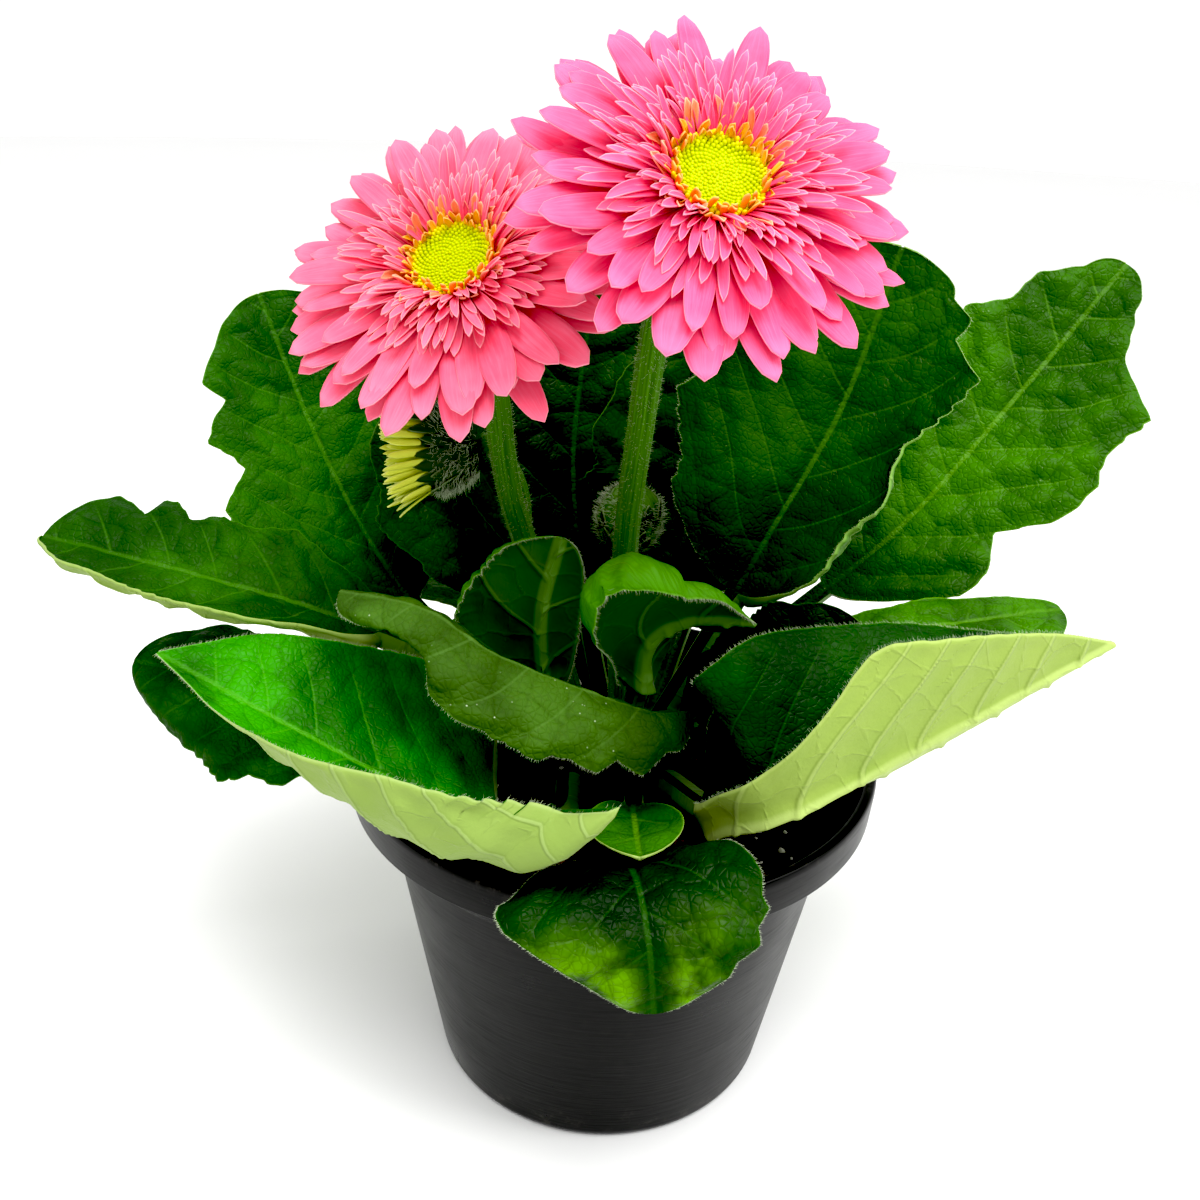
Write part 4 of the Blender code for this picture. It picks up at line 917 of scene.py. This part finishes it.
def ribbed_tube(name, route, radii, seed):
    """A tube along a route. Its radius follows radii along the way, with ribs as a small cosine round it and
    a slow unevenness. Keeps the share of its length and the turn round it."""
    at = np.linspace(0, 1, TUBE_RINGS)
    middle = smooth_route(route, at)
    one, two, _ = across_frame(middle)
    turn = full_turn(TUBE_POINTS)
    radius = smooth_values(radii, at)[:, None] * (1 + RIB_DEPTH * np.cos(RIBS * turn + 3 * at[:, None]))
    radius = radius + 0.12 * ripple(at[:, None] * 100, turn * 6, seed, 22)
    rings = middle[:, None] + radius[..., None] * (
        one[:, None] * np.cos(turn)[None, :, None] + two[:, None] * np.sin(turn)[None, :, None])
    values = {"along": at[:, None] + 0 * turn, "round": turn[None] + 0 * at[:, None]}
    return skin(name, rings, values)


def needles(name, roots, lean, length, thick, seed):
    """One hair per root: three rings of four points along a bent line that leaves the root the way lean
    points, with every hair a little shorter, longer and more turned than the next."""
    dice = np.random.default_rng(seed)
    count = len(roots)
    way = unit(lean + dice.normal(0, 0.28, (count, 3)))
    one = unit(np.cross(way, dice.normal(0, 1, (count, 3))))
    two = np.cross(way, one)
    long = (length * dice.uniform(0.5, 1.25, count))[:, None, None, None]
    at = np.array([-0.1, 0.5, 1.0])[None, :, None, None]
    wide = np.array([1.0, 0.7, 0.15])[None, :, None, None] * thick
    turn = full_turn(4)[None, None, :, None]
    rings = roots[:, None, None] + way[:, None, None] * at * long + one[:, None, None] * (0.25 * at**2 * long)
    rings = rings + wide * (one[:, None, None] * np.cos(turn) + two[:, None, None] * np.sin(turn))
    return skin(name, rings)


def tube_hairs(name, route, radii, count, length, thick, seed):
    """Hairs spread over a tube, leaning a little upwards."""
    dice = np.random.default_rng(seed)
    at = np.sort(dice.uniform(0.02, 1.0, count))
    middle = smooth_route(route, at)
    one, two, tangent = across_frame(smooth_route(route, np.linspace(0, 1, TUBE_STEPS)))
    index = (at * (TUBE_STEPS - 1)).astype(int)
    turn = dice.uniform(0, 2 * np.pi, count)[:, None]
    outwards = one[index] * np.cos(turn) + two[index] * np.sin(turn)
    roots = middle + outwards * smooth_values(radii, at)[:, None] * 0.97
    return needles(name, roots, outwards + 0.35 * tangent[index], length, thick, seed + 1)


# %% [markdown]
# Stalk green is paler and yellower than the leaves, with fine darker streaks along the ribs, and it reddens
# a little towards the foot. The hairs share one pale finish.

# %% Stalk finishes
def stalk_green():
    recipe = Recipe("stalk green", roughness=0.48, specular=0.2, Sheen_Weight=0.12, Sheen_Roughness=0.45,
                    Sheen_Tint=(0.75, 0.95, 0.6, 1))
    along, turn, place = recipe.kept("along"), recipe.kept("round"), recipe.place()
    both = recipe.add("CombineXYZ", recipe.times(along, 3.0), recipe.times(turn, 4.0), 0.0)
    streak = recipe.noise(both, 1.6, 3, 0.6)
    grain = recipe.noise(place, 1500, 3, 0.6)
    colour = recipe.mix(recipe.step(streak, 0.3, 0.7), (0.030, 0.10, 0.006), (0.075, 0.20, 0.02))
    colour = recipe.mix(recipe.step(along, 0.45, 0.0, 0.0, 0.4), colour, (0.035, 0.08, 0.012))
    return recipe.done(colour, recipe.step(grain, 0.3, 0.7, 0.42, 0.58), recipe.sum(streak, grain), 0.4, 0.0003)


def pale_down(name, colour):
    recipe = Recipe(name, roughness=0.7, specular=0.2, Sheen_Weight=0.3)
    tone = recipe.mix(recipe.noise(recipe.place(), 300, 2), darker(colour, 0.7), colour)
    return recipe.done(tone)


stalk_finish, down = stalk_green(), pale_down("pale down", (0.52, 0.62, 0.40))
wool = pale_down("crown wool", (0.09, 0.09, 0.05))

# %% [markdown]
# Leaves are downy along their margins too. The needles stand on the points that each leaf remembered, and
# lean out the way the blade ends there.

# %% Hairs along the leaf margins
HAIRS_EACH, HAIR_THICKNESS = 3, 0.03


def margin_hairs(name, length, seed):
    """Some hairs between every two points of a leaf's margins, on the line from the next column outwards."""
    edge, inner = margins[name]
    dice = np.random.default_rng(seed)
    share = dice.random((HAIRS_EACH, len(edge) - 1, 2, 1))
    roots = edge[:-1] * (1 - share) + edge[1:] * share
    lean = np.broadcast_to(unit(edge - inner)[:-1], roots.shape)
    return needles(name + "_down", roots.reshape(-1, 3), lean.reshape(-1, 3), length, HAIR_THICKNESS, seed)


HAIR_LENGTHS = {"leaf_front_left": 0.9, "leaf_front_right": 0.9, "leaf_arched": 0.8, "leaf_young_left": 1.0,
                "leaf_young_right": 1.0, "leaf_front_drooping": 0.6, "leaf_right_tall": 0.5,
                "leaf_right_inner": 0.6}
for seed, (node, long) in enumerate(HAIR_LENGTHS.items()):
    finish_piece(margin_hairs(node[5:] + "_leaf", long, 60 + seed), node, SLOT_OF.get(node, "leaf"), down)

# %% [markdown]
# The routes are the same as the frame's, carried on down into the crown and up into the flower's base. The
# tube swells gently at both ends.

# %% Grow the stalks
HEADS = {
    "front_head": dict(
        centre=(13.5, -45, 245), facing=(0.19, -0.67, 0.72),
        scape=[(2, 2, 95), (1, 7, 148), (3, -6, 186), (5, -23, 216), (9, -30, 230)]),
    "rear_head": dict(
        centre=(-39, -15, 223), facing=(-0.25, -0.66, 0.71),
        scape=[(-9, 6, 95), (-23, 13, 140), (-29, 7, 165), (-31, -1, 188), (-34, -4, 207)]),
}
OPEN_BUD = dict(centre=(-46, 10, 173), facing=(-0.96, -0.2, -0.12),
                scape=[(-15, 8.5, 97), (-25, 21, 128), (-27, 20, 158), (-34, 13, 173)])
SMALL_BUD = dict(centre=(2, 21, 152), facing=(0.15, -0.1, 0.98),
                 scape=[(0, 9, 95), (2, 15, 120), (1, 20, 141)])


def grow_stalk(node, plant, radii, reach, hairs, seed):
    """The stalk and its hairs: its route starts in the crown and runs on by reach towards the flower."""
    route = [tuple(np.array(plant["scape"][0]) * [0.9, 0.9, 0] + [0, 0, 87])] + plant["scape"]
    last = np.array(plant["scape"][-1], float)
    route.append(tuple(last + unit(np.array(plant["centre"]) - last) * reach))
    stalk = ribbed_tube(node + "_stalk", route, radii, seed)
    finish_piece(stalk, node, "scape", stalk_finish)
    down_on = tube_hairs(node + "_down", route, radii, hairs, 1.0, 0.035, seed)
    finish_piece(down_on, node, "scape", down)


HEAD_STALK = (3.7, 3.3, 3.1, 3.1, 3.4)
STALKS = (("front_head", HEADS["front_head"], HEAD_STALK, 5.0, 2600),
          ("rear_head", HEADS["rear_head"], HEAD_STALK, 5.0, 2400),
          ("open_bud", OPEN_BUD, (3.0, 2.5, 2.3, 2.4, 2.8), 2.0, 1200),
          ("small_bud", SMALL_BUD, (3.0, 2.4, 2.3, 2.6), 2.0, 700))
for seed, (node, *stalk) in enumerate(STALKS, 21):
    grow_stalk(node + "_scape", *stalk, seed)

# %% [markdown]
# The crown is a low dome lumpy with old leaf bases, covered in wool. It is turned like the mix, then pushed
# up by a ripple, and long soft hairs stand on it.

# %% The crown
CROWN_RADIUS, CROWN_RISE, CROWN_RINGS, WOOL_HAIRS = 20, 6.2, 30, 2600


def dome(out):
    """Height over the crown's foot at a distance from its middle: a cosine, a little flattened."""
    return CROWN_RISE * np.cos(out / CROWN_RADIUS * np.pi / 2) ** 0.8


def make_crown():
    """The turned dome, lumpy by a ripple that fades at its wall, and the wool on it."""
    out = np.linspace(0.3, CROWN_RADIUS, CROWN_RINGS)
    line = np.vstack([np.stack([out, 84.5 + dome(out)], 1), [[19.5, 83.6]], [[0.3, 83.6]]])
    rings = turned_rings(line, 72)
    top = rings[:CROWN_RINGS]
    top[..., 2] += 1.3 * ripple(top[..., 0], top[..., 1], 31, 8) * ease(out, 20, 14)[:, None]
    finish_piece(skin("crown_dome", rings), "crown", "crown_tissue",
                 pale_down("crown skin", (0.02, 0.03, 0.008)))
    dice = np.random.default_rng(33)
    far, turn = 18 * np.sqrt(dice.random(WOOL_HAIRS)), dice.uniform(0, 2 * np.pi, WOOL_HAIRS)
    x, y = far * np.cos(turn), far * np.sin(turn)
    roots = np.stack([x, y, 84.3 + dome(far)], -1)
    lean = np.stack([x / CROWN_RADIUS, y / CROWN_RADIUS, 0 * far + 0.8], -1)
    finish_piece(needles("crown_wool", roots, lean, 3.2, 0.06, 34), "crown", "crown_tissue", wool)


make_crown()

# %% [markdown]
# ## Florets
# A gerbera head is hundreds of florets on one disc. The outer rays are long straps, the next rows are shorter,
# narrower and more upright, then comes a ring of small tubes, and the middle is a flat spiral of buds. All of
# the strap-like ones are one function: a strap that leaves the head at a radius, climbs at an angle and bends
# as it goes, channelled along its middle, with its width following an oval. One call makes a whole whorl.

# %% A whorl of straps
def local_frame(facing):
    """The three directions of a head's own frame, as columns: its third is the way it faces."""
    return np.array(Vector(facing).to_track_quat("Z", "Y").to_matrix())


def on_plant(points, plant):
    """Points of a flower's own frame, turned the way it faces and carried to its centre."""
    return points @ local_frame(plant["facing"]).T + np.array(plant["centre"], float)


def whorl(name, plant, count, start, reach, half_width, height, climb, bend, seed, trough=0.12, claw=0.35,
          thick=0.32, rows=14, half=4, vary=0.06, power=1.6, phase=0.0, rise=0.8, fall=0.5, spread=0.6, wild=1.0):
    """count straps, each from the radius start to about reach. climb is the angle in degrees at its foot and
    bend how much it has dropped by the tip; trough lifts its edges; claw is how wide its foot is; wild is how
    unlike each other the straps lie."""
    dice = np.random.default_rng(seed)
    k = np.arange(count)
    turn = (k + phase + dice.uniform(-spread, spread, count) * 0.5) * 2 * np.pi / count
    vary_by = dice.uniform(-1, 1, (6, count))
    s = np.linspace(0, 1, rows)[None]
    slope = np.radians(climb + 6 * wild * vary_by[0][:, None] - (bend + 9 * wild * vary_by[1][:, None]) * s**power)
    length = (reach - start) * (1 + vary * vary_by[2])[:, None]
    step = length / (rows - 1)
    out = start + (np.cumsum(np.cos(slope), 1) - np.cos(slope)[:, :1]) * step
    tall = height + 0.35 * vary_by[3][:, None] + (np.cumsum(np.sin(slope), 1) - np.sin(slope)[:, :1]) * step
    narrow = np.hypot(oval(s, rise, fall), claw * (1 - s) ** 0.6) * half_width * (1 + 0.14 * vary_by[4][:, None])
    width = np.maximum(narrow, 0.06)
    q = np.linspace(-1, 1, 2 * half + 1)[None, None]
    groove = 0.05 * np.cos(q * 3 * np.pi) * ease(s, 0.1, 0.4)[..., None]
    lift = (trough * q**2 + groove * 0.5) * width[..., None]
    side = q * width[..., None]
    roll = (np.radians(13) * wild * vary_by[5])[:, None, None]
    side, lift = side * np.cos(roll) - lift * np.sin(roll), side * np.sin(roll) + lift * np.cos(roll)
    wander = (np.radians(4) * wild * vary_by[3])[:, None] * s**2
    turned = turn[:, None] + wander

    def at(lift_by):
        radial = out[..., None] - lift_by * np.sin(slope)[..., None]
        upward = tall[..., None] + lift_by * np.cos(slope)[..., None]
        c, d = np.cos(turned)[..., None], np.sin(turned)[..., None]
        return np.stack([radial * c - side * d, radial * d + side * c, upward], -1)

    sheet, below = at(lift), at(lift - thick)
    rings = on_plant(np.concatenate([sheet, below[:, :, ::-1]], axis=2), plant)
    far = np.minimum((1 - np.abs(q)) * width[..., None], (1 - s)[..., None] * length[..., None])
    ones = np.ones_like(side)
    values = {"along": s[..., None] * ones, "across": q * ones, "edge": far * ones,
              "tone": dice.random(count)[:, None, None] * ones}
    values = {key: there_and_back(value, 2) for key, value in values.items()}
    values["under"] = np.concatenate([0 * ones, ones], axis=2)
    return skin(name, rings, values)


# %% [markdown]
# Rays are a clear pink, deeper and redder at the foot, paler to the tip, with a hair-thin cream edge and fine
# lines running their length. On the rays and inner florets the strong red foot is partly their own deeper
# colour and partly painted light: the red glow of light through the petals where they shade one another.
# Undersides are duller. The inner florets share the recipe with other colours, and stronger cream tips.

# %% Petal finishes
def petal(name, foot, body, tip, rim, rim_width=0.15, tip_from=0.8, roughness=0.5, under=0.82):
    recipe = Recipe(name, roughness=roughness, specular=0.15)
    step, times, mix = recipe.step, recipe.times, recipe.mix
    along, across, edge, tone, below = (recipe.kept(key) for key in ("along", "across", "edge", "tone", "under"))
    place = recipe.add("CombineXYZ", times(along, 2.2), times(across, 5.0), times(tone, 40.0))
    lines = recipe.noise(place, 1.5, 4, 0.6)
    blush = recipe.noise(recipe.place(), 130, 3, 0.5)
    # For the rays and inner florets the foot colour is partly painted light: light glowing red through the petals
    # where they shade one another.
    colour = mix(step(along, 0.0, 0.6), foot, body)
    colour = mix(times(step(lines, 0.42, 0.7), 0.35), colour, tip)
    colour = mix(times(step(blush, 0.35, 0.7), 0.25), colour, tip)
    colour = mix(step(along, tip_from, 1.02, 0.0, 0.55), colour, tip)
    colour = mix(times(tone, 0.22), colour, foot)
    colour = mix(times(step(edge, rim_width, 0.02, 0.0, 0.6), step(along, 0.3, 1.0)), colour, rim)
    colour = mix(times(below, 0.55), colour, darker(tip, under))
    return recipe.done(colour, step(lines, 0.3, 0.7, roughness - 0.07, roughness + 0.1), lines, 0.35, 0.0004)


PINK = dict(foot=(0.90, 0.020, 0.075), body=(0.91, 0.068, 0.180), tip=(0.93, 0.20, 0.38), rim=(0.95, 0.38, 0.46))
CORAL = dict(foot=(0.92, 0.035, 0.080), body=(0.93, 0.105, 0.195), tip=(0.94, 0.25, 0.37), rim=(0.95, 0.41, 0.44))
ray_pink, ray_coral = petal("ray pink", **PINK), petal("ray coral", **CORAL)
inner_pink = petal("inner pink", **{**PINK, "rim": (0.95, 0.48, 0.52)}, rim_width=0.2, tip_from=0.75)
inner_coral = petal("inner coral", **{**CORAL, "rim": (0.95, 0.50, 0.46)}, rim_width=0.2, tip_from=0.75)
ring_gold = petal("ring gold", (0.62, 0.55, 0.01), (0.86, 0.46, 0.03), (0.88, 0.20, 0.05), (0.95, 0.60, 0.20),
                  0.25, 0.6)
ring_rose = petal("ring rose", (0.82, 0.40, 0.03), (0.88, 0.22, 0.07), (0.91, 0.18, 0.19), (0.95, 0.58, 0.35),
                  0.25, 0.5)

# %% [markdown]
# The two heads share one plan. From the outside in: three rows of broad rays, five rows of narrow florets that
# stand up more and more, and three rows of little tubes that turn from rose to gold.

# %% Grow the rays and florets
FLORET_ROWS = (
    ("florets_5", 44, 27.0, 1.25, -1.2, 17, 10, dict(trough=0.3, vary=0.16, wild=1.4)),
    ("florets_4", 46, 24.5, 1.05, -0.9, 24, 14, dict(trough=0.45, vary=0.15, phase=0.5, wild=1.6)),
    ("florets_3", 46, 21.8, 0.88, -0.7, 31, 16, dict(trough=0.5, vary=0.15, wild=1.8)),
    ("florets_2", 44, 19.2, 0.78, -0.5, 38, 16, dict(trough=0.6, vary=0.15, phase=0.5, wild=2.0)),
    ("florets_1", 40, 17.2, 0.7, -0.4, 45, 14, dict(trough=0.6, vary=0.16, wild=2.2)))
RING_ROWS = (
    ("ring_3", ring_rose, 36, 9.4, 16.4, 0.8, -0.4, 54, 8, dict(wild=2.6)),
    ("ring_2", ring_gold, 34, 8.8, 13.6, 0.68, -0.3, 64, -4, dict(claw=0.8, phase=0.5, wild=2.6)),
    ("ring_1", ring_gold, 30, 8.2, 12.0, 0.6, -0.2, 76, -14, dict(claw=0.8, wild=2.2)))
RING_SHAPE = dict(trough=0.7, rows=9, half=2, fall=0.25, claw=0.7, vary=0.2)
RAY_ROWS = (
    ("outer_rays", "lower_rays", 24, 0, 3.7, -4.6, 3, 9, dict(trough=-0.05, vary=0.07)),
    ("middle_rays", "lower_rays", 24, 2, 3.6, -3.2, 9, 14, dict(trough=-0.04, vary=0.09, phase=0.5)),
    ("upper_rays", "upper_rays", 22, 6, 3.1, -2.0, 13, 14, dict(trough=0.08, vary=0.12)))
FOOT = 8


def grow_head(node, rays, inner, slot, seed, reach):
    """All whorls of one head, from the outside in; each has the next seed."""
    plant = HEADS[node]
    seeds = iter(range(seed, seed + len(RAY_ROWS) + len(FLORET_ROWS) + len(RING_ROWS)))

    def row(name, stands_for, slot_name, finish, *shape, **more):
        made = whorl(f"{node[:-5]}_{name}", plant, *shape, next(seeds), **more)
        finish_piece(made, f"{node}_{stands_for}", slot_name, finish)

    for name, stands_for, count, less, *shape, more in RAY_ROWS:
        row(name, stands_for, slot, rays, count, FOOT, reach - less, *shape, rows=18, **more)
    for name, count, far, *shape, more in FLORET_ROWS:
        row(name, "trans_florets", slot, inner, count, FOOT, far, *shape, **more)
    for name, finish, *shape, more in RING_ROWS:
        row(name, "ring_florets", "ring_florets", finish, *shape, **{**RING_SHAPE, **more})


grow_head("front_head", ray_pink, inner_pink, "front_rays", 100, 38.6)
grow_head("rear_head", ray_coral, inner_coral, "rear_rays", 200, 40.6)


# %% [markdown]
# The buds in the middle open from the rim inwards, so the disc is a spiral of tiny knobs: each is turned by
# the golden angle from the one before and a little further out. The older ones by the rim are taller.

# %% The disc of buds
DISC_BUDS, DISC_RADIUS, GOLDEN_ANGLE = 380, 9.0, np.radians(137.508)


def disc_of_buds(name, plant):
    """Knobs of four rings of six points. Knob k of n stands at radius sqrt(k / n) and turn k x 137.5 degrees."""
    k, count = np.arange(DISC_BUDS), DISC_BUDS
    dice = np.random.default_rng(count)
    share, turn = np.sqrt((k + 0.5) / count), k * GOLDEN_ANGLE
    size = (0.36 + 0.14 * share**2) * dice.uniform(0.85, 1.15, count)
    tall = 0.8 + 1.0 * ease(share, 0.55, 1.0) + dice.uniform(-0.15, 0.15, count)
    wide = np.array([0.8, 1.0, 1.05, 0.3])[None, :, None, None] * size[:, None, None, None]
    up_by = np.array([-0.6, 0.2, 0.8, 1.0])[None, :, None] * tall[:, None, None]
    rings = on_circle(full_turn(6))[None, None] * wide + up_by[..., None] * [0, 0, 1]
    share = share[:, None, None]
    shift = DISC_RADIUS * share[..., None] + 0.25 * up_by[..., None] * share[..., None]
    rings = rings + on_circle(turn)[:, None, None] * shift + [0, 0, 0.2]
    ones = np.ones((count, 4, 6))
    values = {"along": np.array([0, 0.3, 0.8, 1.0])[None, :, None] * ones,
              "tone": dice.random(count)[:, None, None] * ones, "outer": share * ones}
    return skin(name, on_plant(rings, plant), values)


def disc_seat(name, plant):
    """The dish the florets stand on: a turned pad with a shallow bowl, in the head's own frame."""
    line = np.array([(0.3, 0.65), (6, 0.7), (8.6, 0.6), (9.4, -0.4), (13, -1.6), (14, -3.5), (10, -5.2),
                     (0.3, -5.4)])
    return skin(name, on_plant(turned_rings(line, 48), plant))


def bud_lime():
    recipe = Recipe("bud lime", roughness=0.55, specular=0.15)
    along, tone, outer = recipe.kept("along"), recipe.kept("tone"), recipe.kept("outer")
    colour = recipe.mix(along, (0.36, 0.45, 0.002), (0.45, 0.53, 0.003))
    colour = recipe.mix(recipe.times(recipe.step(outer, 0.75, 1.0), 0.55), colour, (0.86, 0.62, 0.03))
    colour = recipe.mix(recipe.times(tone, 0.12), colour, (0.55, 0.62, 0.01))
    return recipe.done(colour)


def seat_green():
    recipe = Recipe("seat green", roughness=0.7, specular=0.2)
    return recipe.done(recipe.mix(recipe.noise(recipe.place(), 500, 3), (0.34, 0.44, 0.004), (0.44, 0.54, 0.006)))


lime, seat = bud_lime(), seat_green()
for node, plant in HEADS.items():
    finish_piece(disc_of_buds(node[:-5] + "_disc_buds", plant), node + "_disc", "disc_florets", lime)
    finish_piece(disc_seat(node[:-5] + "_disc_seat", plant), node + "_disc", "disc_florets", seat)

# %% [markdown]
# Below the rays a cup of small green bracts (the involucre) holds the head. Bracts are straps too: pointed,
# narrow and overlapping, in three rows that hug the cup, with down on them.

# %% The cups below the heads
def bract(name, foot, body, tip):
    return petal(name, foot, body, tip, (0.35, 0.5, 0.22), 0.22, 0.6, 0.6, under=0.9)


bract_green = bract("bract green", (0.07, 0.15, 0.025), (0.06, 0.16, 0.022), (0.10, 0.22, 0.04))
bract_dark = bract("bract dark", (0.020, 0.036, 0.012), (0.012, 0.025, 0.007), (0.03, 0.055, 0.018))


def cup(name, plant, line):
    """A turned cup in the flower's own frame."""
    rings = turned_rings(rounded(line, [1.0] * (len(line) - 2)), 48)
    return skin(name, on_plant(rings, plant))


BRACT = dict(trough=0.25, claw=0.8, half=2, thick=0.4, fall=0.9)
for node, plant in HEADS.items():
    base = cup(node[:-5] + "_cup", plant, [
        (0.3, -5.2), (10.4, -5.2), (10.8, -6.6), (9.4, -10.5), (5.8, -15.0), (3.4, -17.6), (0.3, -17.8)])
    finish_piece(base, node + "_involucre", "involucre", stalk_finish)
    for n, (start, height, climb) in enumerate(((4.4, -16.8, 42), (6.6, -14.6, 50), (8.8, -11.8, 58))):
        bracts = whorl(f"{node[:-5]}_bracts_{n}", plant, 18, start, start + 10.5 - 1.6 * n, 1.5, height, climb,
                       20, 300 + n, rows=9, phase=0.33 * n, spread=0.2, **BRACT)
        finish_piece(bracts, node + "_involucre", "involucre", bract_green)

# %% [markdown]
# ## Buds
# One bud is opening and lies on its side behind a stalk: a dark downy cup with a brush of narrow yellow-green
# rays. The other is still shut, a ribbed downy knob low in the heart.

# %% The opening bud and the shut bud
bud_lemon = petal("bud lemon", (0.22, 0.34, 0.02), (0.55, 0.66, 0.03), (0.80, 0.84, 0.12), (0.85, 0.9, 0.4),
                  0.2, 0.6)
base = cup("open_bud_cup", OPEN_BUD, [
    (0.3, 3.4), (9.6, 3.4), (10.8, 2.4), (11.0, -1.0), (8.8, -6.2), (4.2, -9.4), (0.3, -9.6)])
finish_piece(base, "open_bud_involucre", "involucre", bract_dark)
OPEN_BRACTS = (5.0, -9.0, 40, 12.5), (8.0, -6.6, 58, 12.0), (10.0, -3.0, 76, 11.0)
OPEN_RAYS = (9.4, 66, 11.5, 26), (7.8, 72, 12.0, 24), (6.0, 78, 11.5, 20), (3.5, 84, 10.0, 14)
for n, (start, height, climb, reach) in enumerate(OPEN_BRACTS):
    bracts = whorl(f"open_bud_bracts_{n}", OPEN_BUD, 20, start, start + reach, 1.45, height, climb,
                   -42 + 12 * n, 320 + n, rows=10, phase=0.4 * n, power=0.8, **BRACT)
    finish_piece(bracts, "open_bud_involucre", "involucre", bract_dark)
for n, (start, climb, reach, count) in enumerate(OPEN_RAYS):
    brush = whorl(f"open_bud_rays_{n}", OPEN_BUD, count, start, start + reach, 0.85, 2.6, climb,
                  -2, 330 + n, trough=0.4, claw=0.8, rows=10, half=2, vary=0.14)
    finish_piece(brush, "open_bud_rays", "bud_rays", bud_lemon)


def shut_bud():
    """The knob: a turned egg whose ribs are a cosine round it, deeper at its widest."""
    at = np.linspace(0.04, np.pi - 0.04, 40)
    line = np.stack([8.3 * np.sin(at) ** 0.9, 9.4 * np.cos(at)], 1)
    rings = turned_rings(line, 96)
    turn = full_turn(96)
    rings[..., :2] *= (1 + 0.05 * np.cos(12 * turn[None] + 2.5 * at[:, None]) * np.sin(at)[:, None])[..., None]
    values = {"along": at[:, None] / np.pi + 0 * turn, "round": turn[None] + 0 * at[:, None]}
    return skin("small_bud_knob", on_plant(rings, SMALL_BUD), values)


finish_piece(shut_bud(), "small_bud_head", "involucre", stalk_finish)
for n, (start, height, climb) in enumerate(((3.0, -8.6, 30), (5.4, -6.4, 52), (7.2, -3.0, 72))):
    bracts = whorl(f"small_bud_bracts_{n}", SMALL_BUD, 14, start, start + 11.0, 1.7, height, climb,
                   -48, 350 + n, rows=12, phase=0.4 * n, power=1.0, **BRACT)
    finish_piece(bracts, "small_bud_head", "involucre", bract_dark)

# %% [markdown]
# Long pale hairs on both buds, pointing out from their middles, give them their woolly outline.

# %% Down on the buds
def bud_down(name, plant, radius, low, high, count, length, seed):
    """Hairs over a turned bud: roots on a ring of the radius at heights from low to high in its own frame."""
    dice = np.random.default_rng(seed)
    turn, height = dice.uniform(0, 2 * np.pi, count), dice.uniform(low, high, count)
    bulge = radius * np.sqrt(np.clip(1 - (height / (1.35 * max(-low, high))) ** 2, 0.1, 1))
    outwards = np.stack([np.cos(turn), np.sin(turn), 0.35 + 0 * turn], -1)
    roots = outwards * [1, 1, 0] * bulge[:, None] + np.stack([0 * height, 0 * height, height], -1)
    outwards = outwards @ local_frame(plant["facing"]).T
    return needles(name, on_plant(roots, plant), outwards, length, 0.045, seed)


open_down = bud_down("open_bud_down", OPEN_BUD, 11.2, -8.5, 3.0, 1500, 2.2, 41)
small_down = bud_down("small_bud_down", SMALL_BUD, 8.8, -7.5, 7.0, 1300, 1.8, 42)
finish_piece(open_down, "open_bud_involucre", "involucre", down)
finish_piece(small_down, "small_bud_head", "involucre", down)
